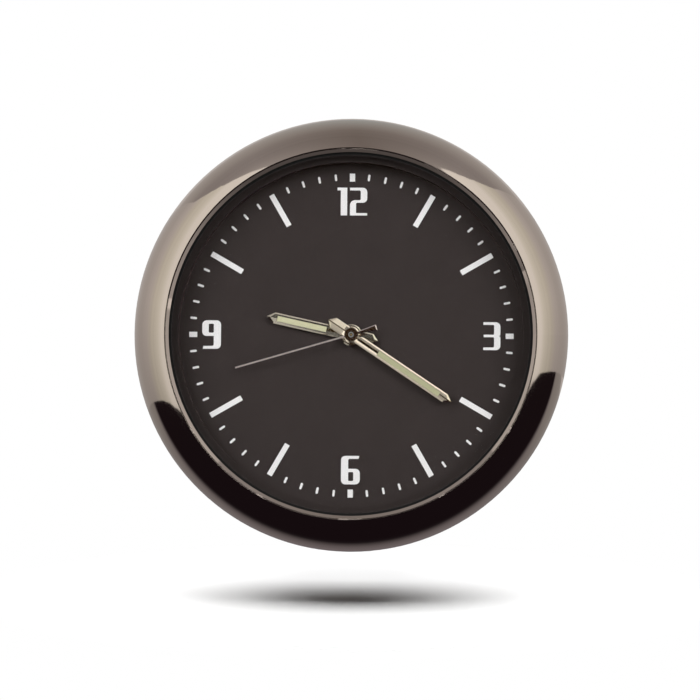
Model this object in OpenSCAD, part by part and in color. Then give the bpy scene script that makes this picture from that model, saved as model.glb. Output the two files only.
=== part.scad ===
// Stick-on quartz clock for a car dashboard, in millimetres.
// Pieces are drawn lying on their back, dial up, and then stood upright: the dial faces -Y, twelve
// o'clock is +Z, three o'clock is +X, and the origin is the middle of the foam pad's sticking face.

/* [Fits] */
// Gap between pieces that seat in one another
fit = 0.05; // [0.03:0.01:0.08]
// Running gap round a turning arbor
run = 0.03; // [0.02:0.005:0.05]
// Gap left in a press fit
press = 0.01; // [0.005:0.005:0.02]

/* [Back] */
// Diameter of the foam pad
pad_d = 28; // [20:0.5:31]
// Thickness of the foam pad
pad_t = 1; // [0.5:0.1:1.6]
// Thickness of the case back plate
back_t = 0.9; // [0.6:0.1:1.5]
// Step from the drum's side in to the case back's edge
back_step = 0.3; // [0.1:0.05:0.5]
// Chamfer round the case back's outer edge
back_chamfer = 0.3; // [0.1:0.05:0.5]
// Height of the snap rim
rim_h = 1.4; // [1.2:0.1:2]
// Wall of the snap rim
rim_w = 0.9; // [0.6:0.1:1.5]
// Radius of the snap bead round the rim
bead_r = 0.15; // [0.1:0.01:0.2]
// Radial width of the back gasket
seal_w = 0.5; // [0.3:0.05:0.7]
// Height of the back gasket
seal_h = 0.5; // [0.3:0.05:0.7]
// Width of the prying notch in the case back
notch_w = 3; // [2:0.1:5]
// Depth of the prying notch in from the case back's edge
notch_d = 0.5; // [0.3:0.05:0.8]

/* [Drum and bezel] */
// Wall of the drum
drum_wall = 1.2; // [0.9:0.05:1.6]
// Wall of the drum's neck, which the bezel is pressed on
neck_wall = 0.6; // [0.5:0.05:0.8]
// Outer diameter of the bezel
bezel_d = 40; // [36:0.5:46]
// Width of the bezel's convex band
band_w = 2.85; // [2.2:0.05:3.4]
// Radius of the bezel's convex band in section
band_r = 3.4; // [2.6:0.1:6]
// Fall of the band from the crest to the outer wall
band_drop = 2.4; // [1.6:0.1:2.8]
// Width of the polished lip inside the crest
lip_w = 0.4; // [0.2:0.05:0.6]
// Lean of the step's wall towards the crystal
lip_lean = 0.12; // [0.05:0.01:0.15]
// Height of the step from the crest to the lip
lip_step = 0.2; // [0.1:0.05:0.3]
// Fall of the lip towards the crystal
lip_drop = 0.25; // [0.1:0.05:0.5]
// Chamfer at the bezel's rear edge
rear_chamfer = 0.4; // [0.2:0.05:0.8]
// Height of the crest above the crystal
crest_rise = 0.6; // [0.55:0.05:1]

/* [Crystal] */
// Thickness of the crystal
crystal_t = 1.3; // [1:0.1:1.8]
// Bevel round the crystal's front edge
crystal_bevel = 0.15; // [0.05:0.05:0.3]
// Radial width of the crystal gasket
gasket_w = 0.25; // [0.2:0.05:0.4]
// Thickness of the gasket's foot under the crystal
gasket_foot = 0.2; // [0.15:0.05:0.4]
// Width of the shelf that carries the gasket
shelf_w = 0.35; // [0.25:0.05:0.5]

/* [Dial] */
// Thickness of the dial
dial_t = 0.4; // [0.3:0.05:0.6]
// Width of the dial ring at its foot
dial_ring_w = 0.45; // [0.35:0.05:0.8]
// Height of the dial ring
dial_ring_h = 1.5; // [1.4:0.1:2.2]
// Draft of the dial ring's inner face
dial_ring_draft = 0.12; // [0:0.02:0.2]
// Gap between the hour pipe and the dial
dial_hole_gap = 0.15; // [0.1:0.05:0.3]
// Diameter of a dial foot
foot_d = 0.7; // [0.5:0.05:0.9]
// Length of a dial foot
foot_l = 1; // [0.6:0.05:1.2]
// Distance of the dial feet in from the main plate's wall
foot_inset = 1.4; // [1:0.1:2]

/* [Markers] */
// Thickness of the printed markers
print_t = 0.03; // [0.02:0.005:0.06]
// Distance of the minute track in from the dial ring
track_inset = 1.23; // [1:0.01:1.5]
// Length of a minute tick
tick_l = 0.62; // [0.5:0.01:0.8]
// Width of a minute tick
tick_w = 0.21; // [0.15:0.01:0.35]
// Length of a quarter block
block_l = 0.74; // [0.6:0.01:1]
// Width of a quarter block
block_w = 0.49; // [0.4:0.01:0.8]
// Distance of the quarter blocks' middle in from the minute track
block_inset = 0.06; // [0:0.01:0.2]
// Distance of the hour batons' middle in from the minute track
baton_inset = 1.36; // [1.2:0.01:2]
// Length of an hour baton
baton_l = 3.3; // [2.5:0.05:3.5]
// Width of an hour baton
baton_w = 0.5; // [0.4:0.01:0.8]

/* [Hands] */
// Hour hand from its axis to its tip
hour_len = 8; // [7:0.05:9]
// Width of the hour hand
hour_w = 1.02; // [0.9:0.02:1.2]
// Diameter of the hour hand's hub
hour_hub_d = 1.98; // [1.9:0.02:2.4]
// Start of the hour hand's luminous insert
hour_lume_from = 2.35; // [2.2:0.05:3]
// Length of the hour hand's luminous insert
hour_lume_l = 4.65; // [3:0.05:4.8]
// Minute hand from its axis to its tip
minute_len = 11.15; // [10.6:0.05:12]
// Width of the minute hand
minute_w = 0.86; // [0.7:0.02:1]
// Diameter of the minute hand's hub
minute_hub_d = 1.54; // [1.4:0.02:1.8]
// Start of the minute hand's luminous insert
minute_lume_from = 3; // [2:0.05:4]
// Length of the minute hand's luminous insert
minute_lume_l = 6.8; // [5:0.05:7]
// Width of both luminous inserts
lume_w = 0.5; // [0.3:0.01:0.55]
// Length of the pointed tip of both hands
tip_l = 0.7; // [0.4:0.05:1]
// Tail of both hands from the axis to its point
tail_l = 2.52; // [2:0.02:3]
// Width of both tails
tail_w = 1.1; // [0.8:0.02:1.2]
// Length of the tails' points
tail_tip = 0.55; // [0.3:0.05:0.8]
// Thickness of both hands at their edges
hand_t = 0.15; // [0.1:0.01:0.2]
// Height of the ridge along the middle of both hands
ridge_h = 0.06; // [0.04:0.01:0.1]
// Width of the bevel round the edges of all the hands
edge_w = 0.08; // [0.05:0.01:0.1]
// Fall of the bevel round the edges of all the hands
edge_drop = 0.04; // [0.02:0.01:0.06]
// Width of the groove along both hands, from the hub to the luminous insert
shank_groove = 0.22; // [0.1:0.01:0.3]
// Width of the groove along both tails
tail_groove = 0.1; // [0.05:0.01:0.2]
// Seconds hand from its axis to its tip
second_len = 11.1; // [10:0.05:12]
// Width of the seconds hand's needle
second_w = 0.14; // [0.1:0.01:0.2]
// Length of the seconds hand's tail
second_tail_l = 2.45; // [2:0.05:3]
// Width of the seconds hand's tail at its end
second_tail_w = 0.54; // [0.3:0.02:0.6]
// Diameter of the seconds hand's hub
second_hub_d = 1.26; // [1.1:0.02:1.5]
// Thickness of the seconds hand
second_t = 0.1; // [0.08:0.01:0.15]
// Diameter of the seconds hand's tube
second_tube_d = 0.5; // [0.4:0.02:0.6]
// Height of the tube above the seconds hand
second_tube_rise = 0.1; // [0.05:0.01:0.15]
// Gap between the dial and the hour hand
hour_lift = 0.35; // [0.3:0.01:0.45]
// Gap between one hand and the next
hand_gap = 0.2; // [0.15:0.01:0.25]
// Place of the hour hand, clockwise from twelve
hour_angle = 282.3; // [0:0.1:360]
// Place of the minute hand, clockwise from twelve
minute_angle = 123.7; // [0:0.1:360]
// Place of the seconds hand, clockwise from twelve
second_angle = 253.7; // [0:0.1:360]

/* [Arbors] */
// Diameter of the seconds arbor
second_arbor_d = 0.28; // [0.24:0.01:0.32]
// Diameter of the pin that carries the seconds hand
second_pin_d = 0.17; // [0.15:0.01:0.2]
// Wall of the cannon pinion's tube
cannon_wall = 0.18; // [0.14:0.01:0.22]
// Wall of the hour wheel's pipe
pipe_wall = 0.22; // [0.16:0.01:0.28]
// Diameter of the other arbors
arbor_d = 0.24; // [0.2:0.01:0.28]
// Diameter of the posts of the minute and setting wheels
post_d = 0.5; // [0.4:0.02:0.6]

/* [Movement] */
// Gap between the stator and the main plate's wall
plate_gap = 0.33; // [0.2:0.01:1]
// Wall round the rear of the main plate
plate_wall = 0.7; // [0.5:0.05:0.9]
// Thickness of the main plate's floor
floor_t = 0.75; // [0.6:0.05:1]
// Thickness of the train bridge
bridge_t = 0.4; // [0.3:0.05:0.6]
// Width of the train bridge
bridge_w = 2.4; // [2:0.1:3]
// Diameter of the train bridge's middle
bridge_hub_d = 3.8; // [3:0.1:4.4]
// Height of the movement ring's ledge behind the main plate
ledge_t = 1.2; // [1:0.1:1.8]
// Width of the movement ring's ledge
ledge_w = 0.6; // [0.4:0.05:0.8]
// Walls of the movement ring
ring_wall = 1.1; // [0.8:0.05:1.4]
// Thickness of the front of the movement ring
ring_front = 0.8; // [0.5:0.05:1]
// Diameter of the pillars
pillar_d = 1.4; // [1.2:0.05:1.6]
// Diameter of a screw's shank
screw_d = 0.56; // [0.4:0.02:0.7]
// Length of a screw's shank
screw_l = 1.3; // [1:0.05:1.5]
// Diameter of a screw's head
screw_head_d = 1.2; // [0.9:0.05:1.4]
// Height of a screw's head
screw_head_h = 0.3; // [0.2:0.05:0.4]
// Gap between the bridge's pillars and the pieces beside them
pillar_gap = 0.1; // [0.1:0.01:0.3]

/* [Wheels] */
// Thickness of the wheels
wheel_t = 0.15; // [0.12:0.01:0.18]
// Gap between wheels in neighbouring levels
level_gap = 0.15; // [0.13:0.01:0.2]
// Gap between the outer levels and the plate or the bridge
end_gap = 0.15; // [0.1:0.01:0.2]
// How far a pinion stands past the wheel that it meshes with
pinion_over = 0.05; // [0.02:0.01:0.06]
// Length of an arbor's pivot in the plate or the bridge
pivot_l = 0.3; // [0.2:0.01:0.35]
// Direction from the centre to the motor, anticlockwise from three
train_dir = -65; // [-70:1:-60]
// Centre of the dial to the third wheel
third_cd = 2.95; // [2.9:0.01:3]
// Centre of the dial to the intermediate wheel
inter_cd = 3; // [2.95:0.01:3.1]
// Intermediate wheel to the rotor
rotor_cd = 2.1; // [2:0.01:2.2]
// Centre of the dial to the minute wheel
works_cd = 2.4; // [2.3:0.01:2.5]
// Gap between the hour wheel and the dial washer
washer_gap = 0.3; // [0.2:0.01:0.4]
// Thickness of the dial washer
washer_t = 0.15; // [0.1:0.01:0.2]
// Width of the dial washer
washer_w = 0.9; // [0.6:0.05:1.2]

/* [Motor] */
// Diameter of the rotor's magnet
magnet_d = 1.3; // [1.1:0.05:1.5]
// Air gap between the magnet and the stator
air_gap = 0.2; // [0.15:0.01:0.25]
// Thickness of the stator
stator_t = 0.4; // [0.3:0.02:0.45]
// Width of the stator across the rotor
stator_w = 1.8; // [1.75:0.05:2]
// Width of the stator's arms
stator_arm_w = 1.2; // [0.9:0.05:1.3]
// Diameter of the coil
coil_d = 1.8; // [1.6:0.05:2]
// Length of the coil between its flanges
coil_l = 7.2; // [6.6:0.1:7.4]
// Thickness of the coil's flanges
coil_flange_t = 0.2; // [0.1:0.05:0.3]
// Width of the coil's core
core_w = 0.8; // [0.6:0.05:1]
// Thickness of the coil's core
core_t = 0.4; // [0.3:0.02:0.5]

/* [Battery and circuit] */
// Diameter of the button cell
battery_d = 6.8; // [6.4:0.05:7]
// Height of the button cell
battery_h = 2.1; // [1.9:0.05:2.3]
// Diameter of the button cell's cap
battery_cap_d = 5.8; // [5:0.1:6]
// Height of the button cell's cap
battery_cap_h = 0.2; // [0.1:0.05:0.3]
// Gap between the button cell and the main plate's wall
battery_gap = 0.5; // [0.3:0.05:0.8]
// Thickness of the battery clamp
clamp_t = 0.25; // [0.15:0.05:0.35]
// Width of the battery clamp
clamp_w = 2; // [1.6:0.1:2.4]
// Distance of the battery clamp's screw from the button cell's edge
clamp_reach = 3.25; // [2.5:0.05:3.5]
// Thickness of the circuit board
board_t = 0.2; // [0.15:0.01:0.3]
// Width of the circuit board
board_w = 4.8; // [4.2:0.1:5.2]
// Width of the chip
chip_w = 2; // [1.5:0.1:2.5]
// Height of the chip
chip_h = 0.6; // [0.4:0.05:0.9]
// Diameter of the quartz can
quartz_d = 1.4; // [1.2:0.05:1.6]
// Length of the quartz can
quartz_l = 5; // [4:0.1:5.4]

/* [Stem and crown] */
// Diameter of the stem
stem_d = 0.9; // [0.7:0.02:1]
// Width of the stem's square
square_w = 0.56; // [0.46:0.02:0.6]
// Diameter of the stem's pilot
pilot_d = 0.44; // [0.36:0.02:0.5]
// Length of the stem's pilot
pilot_l = 1; // [0.8:0.05:1.2]
// Width of the boss round the stem's pilot
boss_w = 1.4; // [1.2:0.05:1.8]
// How far the stem's square runs past the clutch wheel
square_over = 0.85; // [0.7:0.05:0.9]
// Distance of the setting lever's groove in from the main plate's wall
groove_inset = 1.4; // [1.2:0.05:1.6]
// Width of the groove for the setting lever
groove_w = 0.5; // [0.45:0.01:0.6]
// Depth of the groove for the setting lever
groove_d = 0.18; // [0.14:0.01:0.2]
// Diameter of the clutch wheel
clutch_d = 1.7; // [1.6:0.02:1.8]
// Length of the clutch wheel
clutch_l = 1.05; // [0.9:0.05:1.2]
// Length of the clutch wheel's teeth
clutch_tooth_l = 0.42; // [0.3:0.02:0.5]
// Length of the clutch wheel's collar
clutch_collar_l = 0.32; // [0.2:0.02:0.4]
// Gap between the clutch wheel and the setting wheel
clutch_throw = 0.8; // [0.6:0.05:0.9]
// Thickness of the setting lever
lever_t = 0.25; // [0.2:0.01:0.3]
// Width of the setting lever
lever_w = 0.9; // [0.8:0.05:1.1]
// Length of both arms of the setting lever
lever_l = 2; // [1.8:0.05:2.2]
// Diameter of the setting lever's pin
lever_pin_d = 0.34; // [0.26:0.02:0.36]
// Diameter of the crown
crown_d = 3; // [2.8:0.05:3.3]
// Length of the crown
crown_l = 1.95; // [1.9:0.05:2.2]
// Thickness of the crown's face over the end of the stem
crown_face = 0.2; // [0.15:0.05:0.4]
// Number of flutes round the crown
crown_flutes = 24; // [16:1:30]
// Depth of the crown's flutes
flute_d = 0.1; // [0.05:0.01:0.15]
// Gap between the crown and the drum
crown_gap = 0.15; // [0.1:0.05:0.3]
// Gap between the crown and the bezel's rear face
crown_clear = 0.2; // [0.15:0.05:0.5]
// How far the case tube stands out of the drum
tube_out = 1.3; // [1.2:0.05:1.35]
// Wall of the case tube
tube_wall = 0.35; // [0.3:0.02:0.4]
// Radial width of the crown gasket
crown_seal_w = 0.3; // [0.2:0.02:0.36]
// Length of the crown gasket
crown_seal_l = 0.4; // [0.3:0.05:0.5]

/* [Hidden] */
$fn = 96;
// Overshoot of a cutting shape
eps = 0.5;

// Tooth counts: 30 turns of the rotor make one of the seconds wheel, 60 of that one of the centre
// wheel, and 12 of that one of the hour wheel
rotor_teeth = 6;
inter_teeth = 36;
inter_pinion = 8;
seconds_teeth = 40;
seconds_pinion = 8;
third_teeth = 60;
third_pinion = 8;
center_teeth = 64;
cannon_teeth = 12;
minute_teeth = 36;
minute_pinion = 10;
hour_teeth = 40;
setting_teeth = 16;
clutch_teeth = 12;

// Height of a tooth above and below the pitch circle and thickness of a crossed wheel's rim, in modules
addendum = 0.9;
dedendum = 1.2;
rim_depth = 3;

// Directions in the movement, in degrees anticlockwise from three o'clock
board_from = 20;
board_to = 95;
board_screw_dir = 28;
chip_dir = 42;
quartz_dir = 74;
feet_dir = 75;
lever_tail_dir = 205;
// Turn from the button cell's direction to its clamp's
clamp_turn = -105;

// Heights, from the pad's sticking face up to the crest of the bezel
back_z = pad_t;
drum_z = back_z + back_t;
ring_z = drum_z + rim_h;
bridge_z = ring_z + ledge_t;
train_z = bridge_z + bridge_t;
plate_z = train_z + 2 * end_gap + 4 * wheel_t + 3 * level_gap;
floor_z = plate_z + floor_t;
works_z = floor_z + end_gap;
hour_wheel_z = works_z + wheel_t + level_gap;
washer_z = hour_wheel_z + wheel_t + washer_gap;
dial_z = washer_z + washer_t;
dial_top = dial_z + dial_t;
hour_hand_z = dial_top + hour_lift;
minute_hand_z = hour_hand_z + hand_t + ridge_h + hand_gap;
second_hand_z = minute_hand_z + hand_t + ridge_h + hand_gap;
neck_z = dial_top + dial_ring_h;
crystal_z = neck_z + gasket_foot;
crystal_top = crystal_z + crystal_t;
crest_z = crystal_top + crest_rise;

// Radii, from the bezel in to the dial
bezel_r = bezel_d / 2;
step_r = bezel_r - band_w;
seat_r = step_r - lip_w;
crystal_r = seat_r - gasket_w;
bore_r = seat_r - shelf_w;
neck_r = bore_r + neck_wall;
drum_r = bore_r + drum_wall;
dial_r = bore_r - 2 * fit;
window_r = bore_r - fit - dial_ring_w;
track_r = window_r - track_inset;
baton_r = track_r - baton_inset;
rim_r = bore_r - fit;

// Radii at the centre of the dial, from the seconds arbor out to the hour pipe
second_arbor_r = second_arbor_d / 2;
cannon_r = second_arbor_r + run + cannon_wall;
pipe_r = cannon_r + run + pipe_wall;
arbor_r = arbor_d / 2;
post_r = post_d / 2;

// Places in the movement
rotor_u = inter_cd + rotor_cd;
third_at = polar(third_cd, train_dir + 180);
inter_at = polar(inter_cd, train_dir);
rotor_at = polar(rotor_u, train_dir);
minute_at = [works_cd, 0];
setting_m = tooth_module(works_cd, cannon_teeth, minute_teeth);
setting_at = minute_at + [setting_m * (minute_teeth + setting_teeth) / 2, 0];
third_tip_r = tip_radius(tooth_module(third_cd, seconds_pinion, third_teeth), third_teeth);
lug_r = pillar_d / 2 + pillar_gap;
motor_screw_r = rotor_u + stator_w / 2 + lug_r;
third_screw_r = third_cd + third_tip_r + 4 * pillar_gap + lug_r;
bridge_screws_at = [polar(motor_screw_r, train_dir), polar(third_screw_r, train_dir + 180)];
coil_r = coil_d / 2;
coil_u = motor_screw_r + lug_r + pillar_gap + coil_r;
coil_end = coil_l / 2 + coil_flange_t;
stator_u = coil_u + core_w;
stator_v = coil_end + fit + stator_arm_w;
plate_in_r = norm([stator_u, stator_v]) + plate_gap;
plate_r = plate_in_r + plate_wall;
foot_r = plate_in_r - foot_inset;
board_r = plate_in_r - 4 * fit;
board_mid_r = board_r - board_w / 2;
board_z = plate_z - board_t;
board_screw_at = polar(board_mid_r, board_screw_dir);
feet_at = [polar(foot_r, feet_dir), polar(foot_r, feet_dir + 180)];
coil_z = plate_z - fit - coil_r;
stator_z = coil_z + core_t / 2;

// The button cell lies against the stator's near corner, and its clamp reaches away from the motor
battery_r = battery_d / 2;
battery_z = floor_z - battery_h;
battery_c = plate_in_r - battery_gap - battery_r;
corner = [rotor_u - stator_w / 2, -stator_v];
corner_c = norm(corner);
cell_clear = battery_r + 3 * fit;
battery_turn = acos((battery_c ^ 2 + corner_c ^ 2 - cell_clear ^ 2) / (2 * battery_c * corner_c));
battery_dir = train_dir + atan2(corner[1], corner[0]) - battery_turn;
battery_at = polar(battery_c, battery_dir);
clamp_at = battery_at + polar(battery_r + clamp_reach, battery_dir + clamp_turn);

// Places along the stem, out from the centre of the dial
clutch_r = clutch_d / 2;
stem_r = stem_d / 2;
stem_z = works_z + pinion_over - clutch_r;
flange_z = stem_z + crown_d / 2 + crown_clear;
clutch_x = setting_at[0] + tip_radius(setting_m, setting_teeth) + clutch_throw;
stem_x = setting_at[0] - pilot_l / 2;
square_x = stem_x + pilot_l;
groove_x = plate_in_r - groove_inset;
crown_x = drum_r + crown_gap;
cavity_x = drum_r + tube_out + 2 * fit;
tube_r = stem_r + run + tube_wall;
cavity_r = tube_r + run + crown_seal_w + press;
lever_z = stem_z - stem_r - 3 * fit - lever_t;
lever_at = [groove_x, -lever_l];
square_end = clutch_x + clutch_l + square_over;
stem_end = crown_x + crown_l - crown_face;

function polar(r, a) = [r * cos(a), r * sin(a)];

// Module of a pair of gears from its centre distance and tooth counts
function tooth_module(cd, a, b) = 2 * cd / (a + b);
function tip_radius(m, teeth) = m * (teeth / 2 + addendum);
function root_radius(m, teeth) = m * (teeth / 2 - dedendum);

// Phase at which gear b meshes with gear a, which has a tooth at angle pa, where b lies in direction dir
function mesh_phase(a, pa, b, dir) = dir + 180 + 180 / b + (dir - pa) * a / b;

// Height of one of the train's four levels, counted from the bridge
function level_z(k) = train_z + end_gap + k * (wheel_t + level_gap);

// Half the angle that a tooth covers at its root, pitch circle and tip, as shares of the tooth's step
root_half = 0.3;
pitch_half = 0.22;
tip_half = 0.09;
leaf_root_half = 0.22;

function tooth_points(m, teeth, a, root) = let (step = 360 / teeth) [
  polar(root_radius(m, teeth), a - root * step),
  polar(m * teeth / 2, a - pitch_half * step),
  polar(tip_radius(m, teeth), a - tip_half * step),
  polar(tip_radius(m, teeth), a + tip_half * step),
  polar(m * teeth / 2, a + pitch_half * step),
  polar(root_radius(m, teeth), a + root * step)
];

module gear(m, teeth, phase, z, h) {
  root = teeth > 20 ? root_half : leaf_root_half;
  points = [for (i = [0:teeth - 1]) each tooth_points(m, teeth, phase + i * 360 / teeth, root)];
  translate([0, 0, z])
    linear_extrude(h)
      polygon(points);
}

// A pinion that stands past the wheel of its mate, which lies at height z
module pinion(m, teeth, phase, z) {
  gear(m, teeth, phase, z - pinion_over, wheel_t + 2 * pinion_over);
}

// A wheel with three round openings between its rim and its hub
module crossed_wheel(m, teeth, phase, z, hub_r) {
  rim_in = m * (teeth / 2 - rim_depth);
  difference() {
    gear(m, teeth, phase, z, wheel_t);
    for (a = [60, 180, 300])
      translate([0, 0, z - eps])
        linear_extrude(wheel_t + 2 * eps)
          translate(polar((rim_in + hub_r) / 2, a))
            circle((rim_in - hub_r) / 2 - fit);
  }
}

module upright() {
  rotate([90, 0, 0]) children();
}

module at(p, z = 0) {
  translate([p[0], p[1], z]) children();
}

module disc(r, z0, z1) {
  translate([0, 0, z0]) cylinder(r = r, h = z1 - z0);
}

module ring(r_out, r_in, z0, z1) {
  difference() {
    disc(r_out, z0, z1);
    disc(r_in, z0 - eps, z1 + eps);
  }
}

// A cylinder along the stem from x0 to x1
module stem_disc(r, x0, x1) {
  translate([x0, 0, stem_z])
    rotate([0, 90, 0])
      cylinder(r = r, h = x1 - x0);
}

// A flat bar with round ends
module bar(p, q, w) {
  d = q - p;
  translate(p) circle(w / 2);
  translate(q) circle(w / 2);
  translate(p)
    rotate(atan2(d[1], d[0]))
      translate([0, -w / 2])
        square([norm(d), w]);
}

// Places its children round the dial, at clockwise angle a and radius r
module round_dial(a, r) {
  rotate(-a) translate([0, r, 0]) children();
}

module printed() {
  color("whitesmoke")
    upright()
      translate([0, 0, dial_top])
        linear_extrude(print_t)
          children();
}

// Case

// Middle of the arc of the bezel's band, which runs from the step to the outer wall
function band_center() =
  let (from = [step_r, crest_z])
  let (to = [bezel_r, crest_z - band_drop])
  let (chord = to - from)
  let (sag = sqrt(band_r * band_r - chord * chord / 4))
  (from + to) / 2 + sag * [chord[1], -chord[0]] / norm(chord);

module bezel() {
  color("dimgray")
    upright()
      rotate_extrude()
        intersection() {
          polygon([
            [neck_r + press, flange_z],
            [bezel_r - rear_chamfer, flange_z],
            [bezel_r, flange_z + rear_chamfer],
            [bezel_r, crest_z + eps],
            [step_r, crest_z + eps],
            [step_r, crest_z],
            [step_r - lip_lean, crest_z - lip_step],
            [seat_r, crest_z - lip_step - lip_drop],
            [seat_r, neck_z],
            [neck_r + press, neck_z]
          ]);
          union() {
            translate(band_center()) circle(band_r);
            square([bezel_r, crest_z - band_drop]);
          }
        }
}

module drum() {
  bead_z = drum_z + rim_h - 2 * bead_r - 2 * fit;
  color("dimgray")
    upright()
      difference() {
        rotate_extrude()
          difference() {
            polygon([
              [bore_r + seal_w, drum_z],
              [drum_r, drum_z],
              [drum_r, flange_z],
              [neck_r, flange_z],
              [neck_r, neck_z],
              [bore_r, neck_z],
              [bore_r, drum_z + seal_h],
              [bore_r + seal_w, drum_z + seal_h]
            ]);
            translate([bore_r - fit, bead_z]) circle(bead_r + fit);
          }
        stem_disc(tube_r + press, bore_r - eps, drum_r + eps);
      }
}

module crystal() {
  color("lightcyan", 0.3)
    upright()
      rotate_extrude()
        polygon([
          [0, crystal_z],
          [crystal_r, crystal_z],
          [crystal_r, crystal_top - crystal_bevel],
          [crystal_r - crystal_bevel, crystal_top],
          [0, crystal_top]
        ]);
}

module crystal_gasket() {
  color("black")
    upright()
      rotate_extrude()
        polygon([
          [window_r, neck_z],
          [seat_r - press, neck_z],
          [seat_r - press, crystal_top - crystal_bevel],
          [crystal_r + press, crystal_top - crystal_bevel],
          [crystal_r + press, crystal_z],
          [window_r, crystal_z]
        ]);
}

module dial_ring() {
  color("black")
    upright()
      rotate_extrude()
        polygon([
          [window_r, dial_top],
          [bore_r - fit, dial_top],
          [bore_r - fit, neck_z],
          [window_r + dial_ring_draft, neck_z]
        ]);
}

module dial() {
  color([0.22, 0.2, 0.19])
    upright() {
      ring(dial_r, pipe_r + dial_hole_gap, dial_z, dial_top);
      for (p = feet_at)
        at(p) disc(foot_d / 2, dial_z - foot_l, dial_z);
    }
}

module hour_batons() {
  printed()
    for (h = [0:11])
      if (h % 3 != 0)
        round_dial(30 * h, baton_r)
          square([baton_w, baton_l], center = true);
}

module quarter_blocks() {
  printed()
    for (h = [0, 3, 6, 9])
      round_dial(30 * h, track_r - block_inset)
        square([block_w, block_l], center = true);
}

module minute_ticks() {
  reach = [0, (tick_l - tick_w) / 2];
  printed()
    for (m = [0:59])
      if (m % 5 != 0)
        round_dial(6 * m, track_r)
          bar(-reach, reach, tick_w);
}

// Hands, drawn towards twelve o'clock

function hand_points(len, w) = [
  [0, len],
  [w / 2, len - tip_l],
  [w / 2, 0],
  [tail_w / 2, 0],
  [tail_w / 2, tail_tip - tail_l],
  [0, -tail_l],
  [-tail_w / 2, tail_tip - tail_l],
  [-tail_w / 2, 0],
  [-w / 2, 0],
  [-w / 2, len - tip_l]
];

// Cuts the bevel along one edge of a hand whose outline runs clockwise
module edge_cut(from, to, edge_z) {
  slope = edge_drop / edge_w;
  top = ridge_h + edge_drop;
  along = to - from;
  translate([from[0], from[1], edge_z - edge_drop])
    rotate(atan2(along[1], along[0]))
      rotate([90, 0, 90])
        linear_extrude(norm(along))
          polygon([[edge_w, -edge_drop], [edge_w, top], [-top / slope, top]]);
}

// The hands' section: two facets that rise from the edges to a ridge
module hand_roof(len) {
  half = max(hour_w, tail_w) / 2;
  translate([0, len, 0])
    rotate([90, 0, 0])
      linear_extrude(len + tail_l)
        polygon([[-half, 0], [half, 0], [half, hand_t], [0, hand_t + ridge_h], [-half, hand_t]]);
}

module lume_slot(from, len, gap) {
  translate([-lume_w / 2 - gap, from - gap]) square([lume_w + 2 * gap, len + 2 * gap]);
}

// The grooves along the ridge, from the luminous insert back to the tail's point
module ridge_grooves(hub_d, lume_from) {
  translate([0, 0, hand_t])
    linear_extrude(ridge_h + eps) {
      translate([-shank_groove / 2, hub_d / 2]) square([shank_groove, lume_from - hub_d / 2]);
      translate([-tail_groove / 2, -tail_l]) square([tail_groove, tail_l - hub_d / 2]);
    }
}

// A hub with a beveled edge and a low cone on top
module hand_hub(r) {
  rotate_extrude()
    polygon([[0, 0], [r, 0], [r, hand_t - edge_drop], [r - edge_w, hand_t], [0, hand_t + ridge_h]]);
}

module hand(len, w, hub_d, bore, lume_from, lume_l) {
  points = hand_points(len, w);
  last = len(points) - 1;
  difference() {
    union() {
      difference() {
        intersection() {
          linear_extrude(hand_t + ridge_h) polygon(points);
          hand_roof(len);
        }
        for (i = [0:last])
          if (points[i][1] != 0 || points[(i + 1) % (last + 1)][1] != 0)
            edge_cut(points[i], points[(i + 1) % (last + 1)], hand_t);
      }
      hand_hub(hub_d / 2);
    }
    translate([0, 0, -eps]) cylinder(r = bore + press, h = hand_t + ridge_h + 2 * eps);
    translate([0, 0, -eps])
      linear_extrude(hand_t + ridge_h + 2 * eps)
        lume_slot(lume_from, lume_l, press);
    ridge_grooves(hub_d, lume_from);
  }
}

module lume(from, len) {
  linear_extrude(hand_t) lume_slot(from, len, 0);
}

module placed_hand(angle, z) {
  upright() translate([0, 0, z]) rotate(-angle) children();
}

module hour_hand() {
  color("palegoldenrod")
    placed_hand(hour_angle, hour_hand_z)
      hand(hour_len, hour_w, hour_hub_d, pipe_r, hour_lume_from, hour_lume_l);
}

module hour_lume() {
  color("darkseagreen")
    placed_hand(hour_angle, hour_hand_z)
      lume(hour_lume_from, hour_lume_l);
}

module minute_hand() {
  color("palegoldenrod")
    placed_hand(minute_angle, minute_hand_z)
      hand(minute_len, minute_w, minute_hub_d, cannon_r, minute_lume_from, minute_lume_l);
}

module minute_lume() {
  color("darkseagreen")
    placed_hand(minute_angle, minute_hand_z)
      lume(minute_lume_from, minute_lume_l);
}

module second_hand() {
  points = [
    [-second_w / 2, second_len],
    [second_w / 2, second_len],
    [second_w / 2, 0],
    [second_tail_w / 2, -second_tail_l],
    [-second_tail_w / 2, -second_tail_l],
    [-second_w / 2, 0]
  ];
  color("rosybrown")
    placed_hand(second_angle, second_hand_z)
      difference() {
        union() {
          cylinder(d = second_hub_d, h = second_t);
          difference() {
            linear_extrude(second_t) polygon(points);
            for (i = [2:4]) edge_cut(points[i], points[i + 1], second_t);
          }
        }
        translate([0, 0, -eps]) cylinder(r = second_tube_d / 2 + press, h = second_t + 2 * eps);
      }
}

module second_tube() {
  color("silver")
    placed_hand(second_angle, second_hand_z)
      ring(second_tube_d / 2, second_pin_d / 2 + press, -hand_gap / 2, second_t + second_tube_rise);
}

// Movement

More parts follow.
